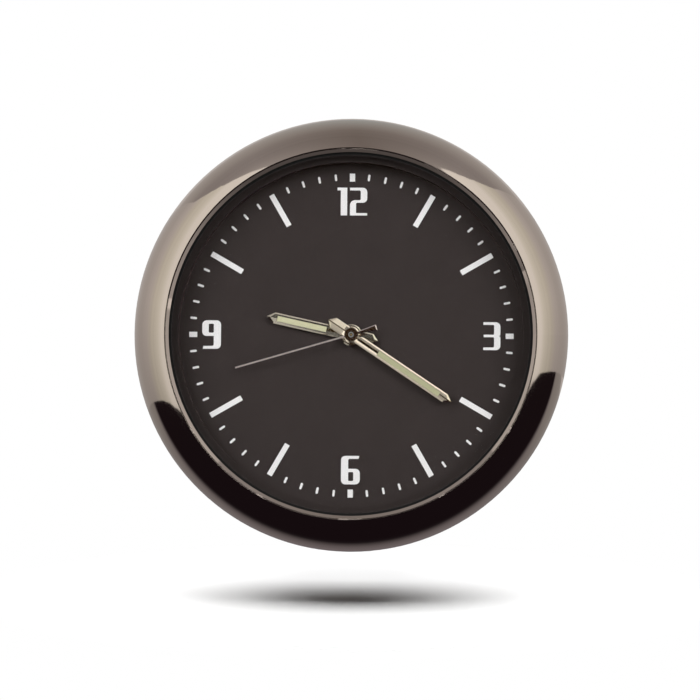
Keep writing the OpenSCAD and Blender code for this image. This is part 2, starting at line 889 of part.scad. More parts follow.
module movement_ring() {
  in_r = plate_r + fit;
  color("gainsboro")
    upright()
      difference() {
        rotate_extrude()
          polygon([
            [in_r - ledge_w, ring_z],
            [in_r + ring_wall, ring_z],
            [in_r + ring_wall, dial_z - ring_front],
            [bore_r - fit - ring_wall, dial_z - ring_front],
            [bore_r - fit - ring_wall, ring_z],
            [bore_r - fit, ring_z],
            [bore_r - fit, dial_z],
            [in_r, dial_z],
            [in_r, bridge_z],
            [in_r - ledge_w, bridge_z]
          ]);
        stem_disc(stem_r + 2 * fit, plate_r - eps, bore_r + eps);
      }
}

module pillar(p, z0) {
  at(p) disc(pillar_d / 2, z0, plate_z);
}

module pivot_hole(p) {
  at(p) disc(arbor_r + run, plate_z - eps, plate_z + pivot_l + fit);
}

module screw_hole(p, seat_z) {
  at(p) disc(screw_d / 2 + press, seat_z - eps, seat_z + screw_l + fit);
}

// Recess for the wheels under the dial
module works_recess() {
  minute_r = tip_radius(setting_m, minute_teeth);
  hour_r = tip_radius(tooth_module(works_cd, minute_pinion, hour_teeth), hour_teeth);
  setting_r = tip_radius(setting_m, setting_teeth);
  translate([0, 0, floor_z])
    linear_extrude(dial_z - floor_z + eps) {
      circle(hour_r + 4 * fit);
      translate(minute_at) circle(minute_r + 4 * fit);
      translate(setting_at) circle(setting_r + 4 * fit);
    }
}

// Room for the stem and its clutch wheel
module stem_way() {
  half = clutch_r + 3 * fit;
  pocket_x = setting_at[0] + tip_radius(setting_m, setting_teeth);
  stem_disc(pilot_d / 2 + run, stem_x - 2 * fit, square_x);
  stem_disc(stem_r + 2 * fit, square_x - 2 * fit, plate_r + eps);
  translate([pocket_x, -half, plate_z - eps])
    cube([clutch_x + clutch_l + 6 * fit - pocket_x, 2 * half, stem_z + half - plate_z + eps]);
}

module main_plate() {
  boss_z = stem_z - pilot_d / 2 - boss_w / 3;
  color("slategray")
    upright() {
      difference() {
        union() {
          disc(plate_r, plate_z, dial_z);
          ring(plate_r, plate_in_r, bridge_z, plate_z);
          for (p = bridge_screws_at)
            pillar(p, train_z);
          pillar(clamp_at, battery_z);
          translate([stem_x - 4 * fit, -boss_w / 2, boss_z])
            cube([pilot_l, boss_w, plate_z + fit - boss_z]);
          rotate(train_dir)
            for (side = [-1, 1])
              at([rotor_u, side * coil_end / 2])
                disc(stator_w / 3, stator_z + stator_t, plate_z);
          at(lever_at) disc(post_d, lever_z + lever_t + fit, plate_z);
          at(lever_at) disc(post_r, lever_z - fit, plate_z);
        }
        works_recess();
        stem_way();
        disc(cannon_hub_r() + run, plate_z - eps, dial_z);
        for (p = [third_at, inter_at, rotor_at])
          pivot_hole(p);
        at(battery_at) disc(battery_r + fit, plate_z - eps, floor_z);
        for (p = feet_at)
          at(p) disc(foot_d / 2 + press, dial_z - foot_l - fit, dial_z + eps);
        for (p = bridge_screws_at)
          screw_hole(p, bridge_z);
        screw_hole(clamp_at, battery_z - clamp_t);
        screw_hole(board_screw_at, board_z);
      }
      for (p = [minute_at, setting_at])
        at(p) disc(post_r, floor_z, hour_wheel_z + wheel_t + pinion_over);
    }
}

module train_bridge() {
  pivots = [[0, 0], third_at, inter_at, rotor_at];
  color("goldenrod")
    upright()
      translate([0, 0, bridge_z])
        linear_extrude(bridge_t)
          difference() {
            union() {
              rotate(train_dir)
                translate([-third_screw_r, -bridge_w / 2])
                  square([third_screw_r + motor_screw_r, bridge_w]);
              circle(d = bridge_hub_d);
              for (p = bridge_screws_at)
                translate(p) circle(lug_r);
            }
            for (p = pivots)
              translate(p) circle(arbor_r + run);
            for (p = bridge_screws_at)
              translate(p) circle(screw_d / 2 + press);
          }
}

module movement_screw(p, seat_z) {
  slot_w = screw_head_h / 2;
  at(p, seat_z) {
    cylinder(d = screw_d, h = screw_l);
    difference() {
      translate([0, 0, -screw_head_h]) cylinder(d = screw_head_d, h = screw_head_h);
      translate([-screw_head_d, -slot_w / 2, -screw_head_h - eps])
        cube([2 * screw_head_d, slot_w, screw_head_h / 2 + eps]);
    }
  }
}

module movement_screws() {
  color("silver")
    upright() {
      for (p = bridge_screws_at)
        movement_screw(p, bridge_z);
      movement_screw(clamp_at, battery_z - clamp_t);
      movement_screw(board_screw_at, board_z);
    }
}

// Wheels under the dial

// Radius of the cannon pinion where it turns in the main plate
function cannon_hub_r() = root_radius(setting_m, cannon_teeth);

module cannon_pinion() {
  color("goldenrod")
    upright()
      difference() {
        union() {
          disc(cannon_hub_r(), level_z(3) - pinion_over, works_z + wheel_t);
          pinion(setting_m, cannon_teeth, 0, works_z);
          disc(cannon_r, works_z, minute_hand_z + hand_t + ridge_h);
        }
        disc(second_arbor_r + run, plate_z - 2 * eps, minute_hand_z + eps);
      }
}

module minute_wheel() {
  hour_m = tooth_module(works_cd, minute_pinion, hour_teeth);
  color("gold")
    upright()
      at(minute_at)
        difference() {
          union() {
            gear(setting_m, minute_teeth, minute_phase(), works_z, wheel_t);
            gear(hour_m, minute_pinion, 0, works_z, hour_wheel_z + wheel_t + pinion_over - works_z);
          }
          disc(post_r + run, works_z - eps, dial_z);
        }
}

function minute_phase() = mesh_phase(cannon_teeth, 0, minute_teeth, 0);

module hour_wheel() {
  hour_m = tooth_module(works_cd, minute_pinion, hour_teeth);
  color("gold")
    upright()
      difference() {
        union() {
          gear(hour_m, hour_teeth, mesh_phase(minute_pinion, 0, hour_teeth, 180), hour_wheel_z, wheel_t);
          disc(pipe_r, hour_wheel_z, hour_hand_z + hand_t + ridge_h);
        }
        disc(cannon_r + run, hour_wheel_z - eps, minute_hand_z);
      }
}

module setting_wheel() {
  phase = mesh_phase(minute_teeth, minute_phase(), setting_teeth, 0);
  color("gold")
    upright()
      at(setting_at)
        difference() {
          gear(setting_m, setting_teeth, phase, works_z, wheel_t);
          disc(post_r + run, works_z - eps, dial_z);
        }
}

module dial_washer() {
  color("khaki")
    upright()
      ring(pipe_r + run + washer_w, pipe_r + run, washer_z, dial_z);
}

// Wheels between the main plate and the bridge

module center_wheel() {
  m = tooth_module(third_cd, third_pinion, center_teeth);
  phase = mesh_phase(third_pinion, train_dir, center_teeth, train_dir);
  color("gold")
    upright()
      difference() {
        crossed_wheel(m, center_teeth, phase, level_z(3), 2 * cannon_hub_r());
        disc(cannon_hub_r() + press, level_z(3) - eps, plate_z);
      }
}

module third_wheel() {
  wheel_m = tooth_module(third_cd, seconds_pinion, third_teeth);
  pinion_m = tooth_module(third_cd, third_pinion, center_teeth);
  phase = mesh_phase(seconds_pinion, train_dir + 180, third_teeth, train_dir + 180);
  color("gold")
    upright()
      at(third_at) {
        crossed_wheel(wheel_m, third_teeth, phase, level_z(2), 3 * arbor_r);
        pinion(pinion_m, third_pinion, train_dir, level_z(3));
        disc(arbor_r, train_z - pivot_l, plate_z + pivot_l);
      }
}

module seconds_wheel() {
  wheel_m = tooth_module(inter_cd, inter_pinion, seconds_teeth);
  pinion_m = tooth_module(third_cd, seconds_pinion, third_teeth);
  phase = mesh_phase(inter_pinion, train_dir + 180, seconds_teeth, train_dir + 180);
  color("gold")
    upright() {
      crossed_wheel(wheel_m, seconds_teeth, phase, level_z(1), 4 * arbor_r);
      pinion(pinion_m, seconds_pinion, train_dir + 180, level_z(2));
      disc(arbor_r, train_z - pivot_l, level_z(1));
      disc(second_arbor_r, level_z(1), second_hand_z - hand_gap / 2);
      disc(second_pin_d / 2, level_z(1), second_hand_z + second_t / 2);
    }
}

module intermediate_wheel() {
  wheel_m = tooth_module(rotor_cd, rotor_teeth, inter_teeth);
  pinion_m = tooth_module(inter_cd, inter_pinion, seconds_teeth);
  phase = mesh_phase(rotor_teeth, train_dir + 180, inter_teeth, train_dir + 180);
  color("gold")
    upright()
      at(inter_at) {
        crossed_wheel(wheel_m, inter_teeth, phase, level_z(0), 3 * arbor_r);
        pinion(pinion_m, inter_pinion, train_dir + 180, level_z(1));
        disc(arbor_r, train_z - pivot_l, plate_z + pivot_l);
      }
}

// Step motor

module rotor() {
  pinion_m = tooth_module(rotor_cd, rotor_teeth, inter_teeth);
  color("gray")
    upright()
      at(rotor_at) {
        pinion(pinion_m, rotor_teeth, train_dir + 180, level_z(0));
        disc(magnet_d / 2, stator_z - pinion_over, stator_z + stator_t + pinion_over);
        disc(arbor_r, train_z - pivot_l, plate_z + pivot_l);
      }
}

module stator() {
  color("lightsteelblue")
    upright()
      rotate(train_dir)
        translate([0, 0, stator_z])
          linear_extrude(stator_t)
            difference() {
              union() {
                translate([rotor_u - stator_w / 2, -stator_v]) square([stator_w, 2 * stator_v]);
                for (v = [-stator_v, stator_v - stator_arm_w])
                  translate([rotor_u, v]) square([stator_u - rotor_u, stator_arm_w]);
              }
              translate([rotor_u, 0]) circle(magnet_d / 2 + air_gap);
            }
}

module coil() {
  color("chocolate")
    upright()
      rotate(train_dir)
        translate([coil_u, 0, coil_z])
          difference() {
            rotate([90, 0, 0]) {
              cylinder(r = coil_r - 2 * fit, h = coil_l, center = true);
              for (side = [-1, 1])
                translate([0, 0, side * (coil_l + coil_flange_t) / 2])
                  cylinder(r = coil_r, h = coil_flange_t, center = true);
            }
            cube([core_w + 2 * press, 3 * coil_l, core_t + 2 * press], center = true);
          }
}

module coil_core() {
  color("lightsteelblue")
    upright()
      rotate(train_dir)
        translate([coil_u, 0, coil_z])
          cube([core_w, 2 * stator_v, core_t], center = true);
}

// Battery and circuit

module circuit_board() {
  color("darkgreen")
    upright()
      difference() {
        rotate(board_from)
          translate([0, 0, board_z])
            rotate_extrude(angle = board_to - board_from)
              translate([board_r - board_w, 0])
                square([board_w, board_t]);
        at(board_screw_at) disc(screw_d / 2 + press, board_z - eps, plate_z);
      }
}

module chip() {
  color("black")
    upright()
      rotate(chip_dir)
        translate([board_mid_r, 0, board_z - chip_h / 2])
          cube([chip_w, chip_w, chip_h], center = true);
}

module quartz_can() {
  color("silver")
    upright()
      rotate(quartz_dir)
        translate([board_mid_r, 0, board_z - quartz_d / 2])
          rotate([90, 0, 0])
            cylinder(d = quartz_d, h = quartz_l, center = true);
}

module battery() {
  color("silver")
    upright()
      at(battery_at) {
        disc(battery_r, battery_z + battery_cap_h, floor_z);
        disc(battery_cap_d / 2, battery_z, floor_z);
      }
}

module battery_clamp() {
  color("gold")
    upright()
      translate([0, 0, battery_z - clamp_t])
        linear_extrude(clamp_t)
          difference() {
            bar(battery_at, clamp_at, clamp_w);
            translate(clamp_at) circle(screw_d / 2 + press);
          }
}

// Stem and crown

module stem() {
  color("silver")
    upright() {
      stem_disc(pilot_d / 2, stem_x, square_x);
      translate([square_x, -square_w / 2, stem_z - square_w / 2])
        cube([square_end - square_x, square_w, square_w]);
      stem_disc(stem_r, square_end, groove_x - groove_w / 2);
      stem_disc(stem_r - groove_d, square_end, groove_x + groove_w);
      stem_disc(stem_r, groove_x + groove_w / 2, stem_end);
    }
}

module clutch_wheel() {
  m = clutch_r / (clutch_teeth / 2 + addendum);
  collar_x = clutch_x + clutch_l - clutch_collar_l;
  hole = square_w + 2 * run;
  color("gold")
    upright()
      difference() {
        union() {
          translate([clutch_x, 0, stem_z])
            rotate([0, 90, 0])
              gear(m, clutch_teeth, 0, 0, clutch_tooth_l);
          stem_disc(root_radius(m, clutch_teeth), clutch_x, clutch_x + clutch_l);
          stem_disc(clutch_r, collar_x, clutch_x + clutch_l);
        }
        translate([clutch_x - eps, -hole / 2, stem_z - hole / 2])
          cube([clutch_l + 2 * eps, hole, hole]);
      }
}

module setting_lever() {
  color("silver")
    upright() {
      translate([0, 0, lever_z])
        linear_extrude(lever_t)
          difference() {
            union() {
              bar(lever_at, [groove_x, 0], lever_w);
              bar(lever_at, lever_at + polar(lever_l, lever_tail_dir), lever_w);
            }
            translate(lever_at) circle(post_r + run);
          }
      at([groove_x, 0]) disc(lever_pin_d / 2, lever_z, stem_z - stem_r + groove_d - run);
    }
}

module crown() {
  r = crown_d / 2;
  points = [
    for (i = [0:crown_flutes - 1])
      each [polar(r, i * 360 / crown_flutes), polar(r - flute_d, (i + 0.5) * 360 / crown_flutes)]
  ];
  color("dimgray")
    upright()
      difference() {
        translate([crown_x, 0, stem_z])
          rotate([0, 90, 0])
            linear_extrude(crown_l)
              polygon(points);
        stem_disc(cavity_r, crown_x - eps, cavity_x);
        stem_disc(stem_r + press, crown_x, stem_end + press);
      }
}

module crown_gasket() {
  color("black")
    upright()
      difference() {
        stem_disc(cavity_r - press, crown_x + 2 * fit, crown_x + 2 * fit + crown_seal_l);
        stem_disc(tube_r + run, crown_x - eps, cavity_x);
      }
}

module case_tube() {
  color("silver")
    upright()
      difference() {
        stem_disc(tube_r, bore_r + 2 * fit, drum_r + tube_out);
        stem_disc(stem_r + run, bore_r - eps, drum_r + tube_out + eps);
      }
}

// Back

module back_gasket() {
  color("black")
    upright()
      ring(bore_r + seal_w - press, rim_r + press, drum_z, drum_z + seal_h);
}

module case_back() {
  plate_edge = drum_r - back_step;
  bead_z = drum_z + rim_h - 2 * bead_r - 2 * fit;
  color("gray")
    upright()
      difference() {
        rotate_extrude() {
          polygon([
            [0, back_z],
            [plate_edge - back_chamfer, back_z],
            [plate_edge, back_z + back_chamfer],
            [plate_edge, drum_z],
            [rim_r, drum_z],
            [rim_r, ring_z],
            [rim_r - rim_w, ring_z],
            [rim_r - rim_w, drum_z],
            [0, drum_z]
          ]);
          translate([bore_r - fit, bead_z])
            intersection() {
              circle(bead_r);
              translate([-bead_r, -bead_r]) square(2 * bead_r);
            }
        }
        translate([-notch_w / 2, -plate_edge - eps, drum_z - back_t / 2])
          cube([notch_w, notch_d + eps, back_t / 2 + eps]);
      }
}

module adhesive_pad() {
  color("darkslategray")
    upright()
      disc(pad_d / 2, 0, pad_t);
}

bezel();
drum();
crystal();
crystal_gasket();
dial_ring();
dial();
hour_batons();
quarter_blocks();
minute_ticks();
hour_hand();
hour_lume();
minute_hand();
minute_lume();
second_hand();
second_tube();
movement_ring();
main_plate();
train_bridge();
movement_screws();
hour_wheel();
dial_washer();
cannon_pinion();
center_wheel();
minute_wheel();
setting_wheel();
third_wheel();
seconds_wheel();
intermediate_wheel();
rotor();
stator();
coil();
coil_core();
circuit_board();
chip();
quartz_can();
battery();
battery_clamp();
stem();
clutch_wheel();
setting_lever();
crown();
crown_gasket();
case_tube();
back_gasket();
case_back();
adhesive_pad();
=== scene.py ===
import math

import bmesh
import bpy
from mathutils import Matrix, Vector, noise


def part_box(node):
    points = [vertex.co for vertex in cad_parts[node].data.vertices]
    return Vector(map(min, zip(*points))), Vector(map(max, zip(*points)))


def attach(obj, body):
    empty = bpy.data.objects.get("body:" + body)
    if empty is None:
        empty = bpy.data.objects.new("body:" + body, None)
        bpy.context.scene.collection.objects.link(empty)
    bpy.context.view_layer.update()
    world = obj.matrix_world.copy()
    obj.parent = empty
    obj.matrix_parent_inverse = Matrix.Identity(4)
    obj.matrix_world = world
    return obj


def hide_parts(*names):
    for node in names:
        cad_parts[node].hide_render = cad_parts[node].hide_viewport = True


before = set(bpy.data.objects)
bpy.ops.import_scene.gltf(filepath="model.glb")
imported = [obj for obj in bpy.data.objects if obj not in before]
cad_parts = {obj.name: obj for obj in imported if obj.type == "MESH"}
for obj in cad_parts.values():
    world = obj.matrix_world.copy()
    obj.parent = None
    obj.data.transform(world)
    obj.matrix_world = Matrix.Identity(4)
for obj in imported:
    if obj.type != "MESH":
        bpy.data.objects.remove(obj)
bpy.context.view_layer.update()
scene = bpy.context.scene
mm = 0.001
weldGap = 0.0001 * mm
print("stage: frame loaded,", len(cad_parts), "nodes")


# Shader groups shared by the materials

def addSockets(tree, way, **kinds):
    for name, kind in kinds.items():
        tree.interface.new_socket(name=name, in_out=way, socket_type="NodeSocket" + kind)


def addNode(tree, kind, **settings):
    node = tree.nodes.new("ShaderNode" + kind)
    for key, value in settings.items():
        setattr(node, key, value)
    return node


def addRadius(tree, vector):
    # Distance from the clock's axis, which runs along Y
    flat = addNode(tree, "VectorMath", operation="MULTIPLY")
    flat.inputs[1].default_value = (1, 0, 1)
    length = addNode(tree, "VectorMath", operation="LENGTH")
    tree.links.new(vector, flat.inputs[0])
    tree.links.new(flat.outputs["Vector"], length.inputs[0])
    return length.outputs["Value"]


grainMix = dict(detail=3, broadSize=0.07, fineShare=0.6, broadShare=0.4, low=0.3, high=0.7)


def makeGrain(lay):
    # Two scales of noise, laid evenly or in rings, that mix two colours and two roughnesses
    tree = bpy.data.node_groups.new(lay + "Grain", "ShaderNodeTree")
    link = tree.links.new
    addSockets(tree, "INPUT", Vector="Vector", Size="Float", Base="Color", Fleck="Color")
    addSockets(tree, "INPUT", Smooth="Float", Rough="Float")
    addSockets(tree, "OUTPUT", Color="Color", Roughness="Float", Height="Float")
    given = tree.nodes.new("NodeGroupInput")
    made = tree.nodes.new("NodeGroupOutput")
    vector = given.outputs["Vector"]
    if lay == "rings":
        ring = addNode(tree, "CombineXYZ")
        link(addRadius(tree, vector), ring.inputs["X"])
        vector = ring.outputs["Vector"]
    fine = addNode(tree, "TexNoise")
    fine.inputs["Detail"].default_value = grainMix["detail"]
    broad = addNode(tree, "TexNoise")
    fewer = addNode(tree, "Math", operation="MULTIPLY")
    fewer.inputs[1].default_value = grainMix["broadSize"]
    share = addNode(tree, "Math", operation="MULTIPLY")
    share.inputs[1].default_value = grainMix["broadShare"]
    both = addNode(tree, "Math", operation="MULTIPLY_ADD")
    both.inputs[1].default_value = grainMix["fineShare"]
    spread = addNode(tree, "MapRange")
    spread.inputs["From Min"].default_value = grainMix["low"]
    spread.inputs["From Max"].default_value = grainMix["high"]
    tint = addNode(tree, "Mix", data_type="RGBA")
    dull = addNode(tree, "Mix")
    link(given.outputs["Size"], fine.inputs["Scale"])
    link(given.outputs["Size"], fewer.inputs[0])
    link(fewer.outputs["Value"], broad.inputs["Scale"])
    link(vector, fine.inputs["Vector"])
    link(vector, broad.inputs["Vector"])
    link(broad.outputs["Fac"], share.inputs[0])
    link(fine.outputs["Fac"], both.inputs[0])
    link(share.outputs["Value"], both.inputs[2])
    link(both.outputs["Value"], spread.inputs["Value"])
    link(spread.outputs["Result"], tint.inputs["Factor"])
    link(given.outputs["Base"], tint.inputs["A"])
    link(given.outputs["Fleck"], tint.inputs["B"])
    link(spread.outputs["Result"], dull.inputs["Factor"])
    link(given.outputs["Smooth"], dull.inputs["A"])
    link(given.outputs["Rough"], dull.inputs["B"])
    link(tint.outputs["Result"], made.inputs["Color"])
    link(dull.outputs["Result"], made.inputs["Roughness"])
    link(both.outputs["Value"], made.inputs["Height"])
    return tree


def makeZone():
    # Mixes two colours by the distance from the clock's axis
    tree = bpy.data.node_groups.new("radiusZone", "ShaderNodeTree")
    link = tree.links.new
    addSockets(tree, "INPUT", Vector="Vector", Inner="Color", Outer="Color", From="Float", To="Float")
    addSockets(tree, "OUTPUT", Color="Color")
    given = tree.nodes.new("NodeGroupInput")
    made = tree.nodes.new("NodeGroupOutput")
    span = addNode(tree, "MapRange", interpolation_type="SMOOTHSTEP")
    tint = addNode(tree, "Mix", data_type="RGBA")
    link(addRadius(tree, given.outputs["Vector"]), span.inputs["Value"])
    link(given.outputs["From"], span.inputs["From Min"])
    link(given.outputs["To"], span.inputs["From Max"])
    link(span.outputs["Result"], tint.inputs["Factor"])
    link(given.outputs["Inner"], tint.inputs["A"])
    link(given.outputs["Outer"], tint.inputs["B"])
    link(tint.outputs["Result"], made.inputs["Color"])
    return tree


grains = {lay: makeGrain(lay) for lay in ("even", "rings")}
zone = makeZone()


# Materials, one for each slot of the record

finishes = {
    "black_nickel": dict(base=(0.36, 0.3, 0.262), fleck=(0.33, 0.275, 0.24), lay="rings", size=5000,
                         smooth=0.03, rough=0.07, metal=1, bump=0.004),
    "crystal_glass": dict(base=(1, 1, 1), fleck=(0.98, 0.99, 0.99), lay="even", size=400,
                          smooth=0, rough=0.02, metal=0, bump=0),
    "black_rubber": dict(base=(0.005, 0.0045, 0.0045), fleck=(0.007, 0.0065, 0.0065), lay="even", size=4000,
                         smooth=0.5, rough=0.7, metal=0, bump=0.1, specular=0.18),
    "black_plastic": dict(base=(0.058, 0.037, 0.038), fleck=(0.066, 0.043, 0.044), lay="even", size=3000,
                          smooth=0.35, rough=0.5, metal=0, bump=0.05, specular=0.35),
    "dial_paint": dict(base=(0.038, 0.0292, 0.0285), fleck=(0.033, 0.0258, 0.0252), lay="even", size=6000,
                       smooth=0.6, rough=0.75, metal=0, bump=0.03, specular=0.2),
    "white_print": dict(base=(0.95, 0.935, 0.93), fleck=(0.92, 0.905, 0.9), lay="even", size=5000,
                        smooth=0.5, rough=0.65, metal=0, bump=0.02),
    "gilt_hand": dict(base=(0.8, 0.73, 0.6), fleck=(0.74, 0.67, 0.54), lay="even", size=6000,
                      smooth=0.06, rough=0.11, metal=1, bump=0.02),
    "dark_hand": dict(base=(0.78, 0.68, 0.65), fleck=(0.7, 0.6, 0.57), lay="even", size=6000,
                      smooth=0.06, rough=0.1, metal=1, bump=0.02),
    "lume": dict(base=(0.5, 0.49, 0.3), fleck=(0.44, 0.43, 0.255), lay="even", size=9000,
                 smooth=0.7, rough=0.85, metal=0, bump=0.1),
    "steel": dict(base=(0.55, 0.55, 0.54), fleck=(0.46, 0.46, 0.46), lay="rings", size=7000,
                  smooth=0.22, rough=0.38, metal=1, bump=0.04),
    "brass": dict(base=(0.72, 0.52, 0.2), fleck=(0.62, 0.44, 0.16), lay="even", size=5000,
                  smooth=0.2, rough=0.36, metal=1, bump=0.03),
    "white_plastic": dict(base=(0.76, 0.76, 0.73), fleck=(0.7, 0.7, 0.67), lay="even", size=2500,
                          smooth=0.4, rough=0.55, metal=0, bump=0.05),
    "grey_plastic": dict(base=(0.17, 0.185, 0.21), fleck=(0.14, 0.155, 0.18), lay="even", size=2500,
                         smooth=0.4, rough=0.55, metal=0, bump=0.05),
    "copper_wire": dict(base=(0.5, 0.16, 0.05), fleck=(0.4, 0.11, 0.03), lay="even", size=4000,
                        smooth=0.22, rough=0.35, metal=1, bump=0.02),
    "green_board": dict(base=(0.012, 0.075, 0.022), fleck=(0.02, 0.1, 0.03), lay="even", size=2500,
                        smooth=0.3, rough=0.45, metal=0, bump=0.03),
    "foam": dict(base=(0.012, 0.012, 0.013), fleck=(0.058, 0.058, 0.062), lay="even", size=2200,
                 smooth=0.85, rough=0.97, metal=0, bump=0.3),
}
bumpDepth = 0.02 * mm


def makeMaterial(name, finish):
    material = bpy.data.materials.new(name + "Finish")
    material.use_nodes = True
    tree = material.node_tree
    shader = tree.nodes["Principled BSDF"]
    place = addNode(tree, "TexCoord", name="place")
    grain = addNode(tree, "Group", name="grain", node_tree=grains[finish["lay"]])
    grain.inputs["Size"].default_value = finish["size"]
    grain.inputs["Base"].default_value = (*finish["base"], 1)
    grain.inputs["Fleck"].default_value = (*finish["fleck"], 1)
    grain.inputs["Smooth"].default_value = finish["smooth"]
    grain.inputs["Rough"].default_value = finish["rough"]
    tree.links.new(place.outputs["Object"], grain.inputs["Vector"])
    tree.links.new(grain.outputs["Color"], shader.inputs["Base Color"])
    tree.links.new(grain.outputs["Roughness"], shader.inputs["Roughness"])
    shader.inputs["Metallic"].default_value = finish["metal"]
    if "specular" in finish:
        shader.inputs["Specular IOR Level"].default_value = finish["specular"]
    if finish["bump"]:
        bump = addNode(tree, "Bump")
        bump.inputs["Strength"].default_value = finish["bump"]
        bump.inputs["Distance"].default_value = bumpDepth
        tree.links.new(grain.outputs["Height"], bump.inputs["Height"])
        tree.links.new(bump.outputs["Normal"], shader.inputs["Normal"])
    return material


materials = {name: makeMaterial(name, finish) for name, finish in finishes.items()}


def addZone(name, socket, inner, outer, start, end):
    # One of a finish's two colours changes with the distance from the axis
    tree = materials[name].node_tree
    ring = addNode(tree, "Group", node_tree=zone)
    ring.inputs["Inner"].default_value = (*inner, 1)
    ring.inputs["Outer"].default_value = (*outer, 1)
    ring.inputs["From"].default_value = start
    ring.inputs["To"].default_value = end
    tree.links.new(tree.nodes["place"].outputs["Object"], ring.inputs["Vector"])
    tree.links.new(ring.outputs["Color"], tree.nodes["grain"].inputs[socket])


def addMiddle(name, inner, start, end):
    # Both of a finish's colours give way to another colour near the axis
    for socket in ("Base", "Fleck"):
        addZone(name, socket, inner, finishes[name][socket.lower()], start, end)


dialEdgeShade = dict(outer=(0.033, 0.026, 0.0258), start=10 * mm, end=16.2 * mm)  # painted shade: darker towards the edge, where the ring shades the dial
tubeHoleShade = dict(inner=(0.03, 0.02, 0.014), start=0.125 * mm, end=0.145 * mm)  # painted shade: the steel is dark near the axis, for the shade in the hole in the hands' middle
gasketEdgeHighlight = dict(inner=(0.03, 0.023, 0.022), start=16.5 * mm, end=16.54 * mm)  # painted highlight: a paler inner edge, for the light line at the crystal's edge
addZone("dial_paint", "Base", finishes["dial_paint"]["base"], **dialEdgeShade)
addMiddle("steel", **tubeHoleShade)
addMiddle("black_rubber", **gasketEdgeHighlight)


def addBrushing(material, way, start, end, polished, brushed):
    # Polished before start and brushed after end, along a hand
    tree = material.node_tree
    along = addNode(tree, "VectorMath", operation="DOT_PRODUCT")
    along.inputs[1].default_value = way
    dull = addNode(tree, "MapRange")
    dull.inputs["From Min"].default_value = start
    dull.inputs["From Max"].default_value = end
    dull.inputs["To Min"].default_value = polished
    dull.inputs["To Max"].default_value = brushed
    tree.links.new(tree.nodes["place"].outputs["Object"], along.inputs[0])
    tree.links.new(along.outputs["Value"], dull.inputs["Value"])
    for socket in ("Smooth", "Rough"):
        tree.links.new(dull.outputs["Result"], tree.nodes["grain"].inputs[socket])


def addGrooveShade(material, way, half, soft, shade):
    # Painted shade: a darker line along the middle of a hand, square to way, for the shadow in its groove
    tree = material.node_tree
    grain = tree.nodes["grain"]
    across = addNode(tree, "VectorMath", operation="DOT_PRODUCT")
    across.inputs[1].default_value = way
    apart = addNode(tree, "Math", operation="ABSOLUTE")
    beside = addNode(tree, "MapRange")
    beside.inputs["From Min"].default_value = (1 - soft) * half
    beside.inputs["From Max"].default_value = (1 + soft) * half
    tree.links.new(tree.nodes["place"].outputs["Object"], across.inputs[0])
    tree.links.new(across.outputs["Value"], apart.inputs[0])
    tree.links.new(apart.outputs["Value"], beside.inputs["Value"])
    for socket in ("Base", "Fleck"):
        shown = addNode(tree, "Mix", data_type="RGBA")
        shown.inputs["A"].default_value = (*shade, 1)
        shown.inputs["B"].default_value = grain.inputs[socket].default_value
        tree.links.new(beside.outputs["Result"], shown.inputs["Factor"])
        tree.links.new(shown.outputs["Result"], grain.inputs[socket])


def roundWay(degrees):
    # The direction on the dial at an angle from 12
    return Vector((math.sin(math.radians(degrees)), 0, math.cos(math.radians(degrees))))


handAngles = dict(hour=282.3, minute=123.7, second=253.7)
needle = dict(start=0.64 * mm, end=0.7 * mm, polished=0.08, brushed=0.38)
addBrushing(materials["dark_hand"], roundWay(handAngles["second"]), **needle)

minuteGold = dict(base=(0.9, 0.79, 0.63), fleck=(0.84, 0.73, 0.58))
minuteTail = dict(start=0.77 * mm, end=0.85 * mm, polished=0.085, brushed=0.36)
# painted shade along the minute hand's groove
minuteGrooveShade = dict(half=0.055 * mm, soft=0.2, shade=(0.22, 0.16, 0.1))
minuteGilt = makeMaterial("minute_gilt", dict(finishes["gilt_hand"], **minuteGold))
addBrushing(minuteGilt, -roundWay(handAngles["minute"]), **minuteTail)
addGrooveShade(minuteGilt, roundWay(handAngles["minute"] + 90), **minuteGrooveShade)

paleLume = dict(base=(0.68, 0.66, 0.43), fleck=(0.61, 0.59, 0.37))
hourLume = makeMaterial("hour_lume", dict(finishes["lume"], **paleLume))


def anyRay(tree, *kinds):
    # 1 for a ray of any of these kinds
    path = addNode(tree, "LightPath")
    found = path.outputs["Is %s Ray" % kinds[0]]
    for kind in kinds[1:]:
        either = addNode(tree, "Math", operation="MAXIMUM")
        tree.links.new(found, either.inputs[0])
        tree.links.new(path.outputs["Is %s Ray" % kind], either.inputs[1])
        found = either.outputs["Value"]
    return found


def setSurface(tree, shader):
    out = next(node for node in tree.nodes if node.type in ("OUTPUT_MATERIAL", "OUTPUT_WORLD"))
    tree.links.new(shader, out.inputs["Surface"])


def mixSurface(tree, share, first, second):
    mix = addNode(tree, "MixShader")
    tree.links.new(share, mix.inputs["Fac"])
    tree.links.new(first, mix.inputs[1])
    tree.links.new(second, mix.inputs[2])
    setSurface(tree, mix.outputs["Shader"])


crystal = dict(transmission=1, ior=1.5)


def clearCrystal():
    # Light reaches the dial through the crystal without noise: only what the camera and the metal see is bent
    tree = materials["crystal_glass"].node_tree
    shader = tree.nodes["Principled BSDF"]
    shader.inputs["Transmission Weight"].default_value = crystal["transmission"]
    shader.inputs["IOR"].default_value = crystal["ior"]
    clear = addNode(tree, "BsdfTransparent")
    mixSurface(tree, anyRay(tree, "Shadow", "Diffuse"), shader.outputs["BSDF"], clear.outputs["BSDF"])


clearCrystal()
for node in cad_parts.values():
    for holder in node.material_slots:
        holder.material = materials[holder.material.name.split(".")[0]]
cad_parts["minute_hand"].material_slots[0].material = minuteGilt
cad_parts["hour_lume"].material_slots[0].material = hourLume
print("stage: materials made,", len(materials))


# Pieces that show more than the solids

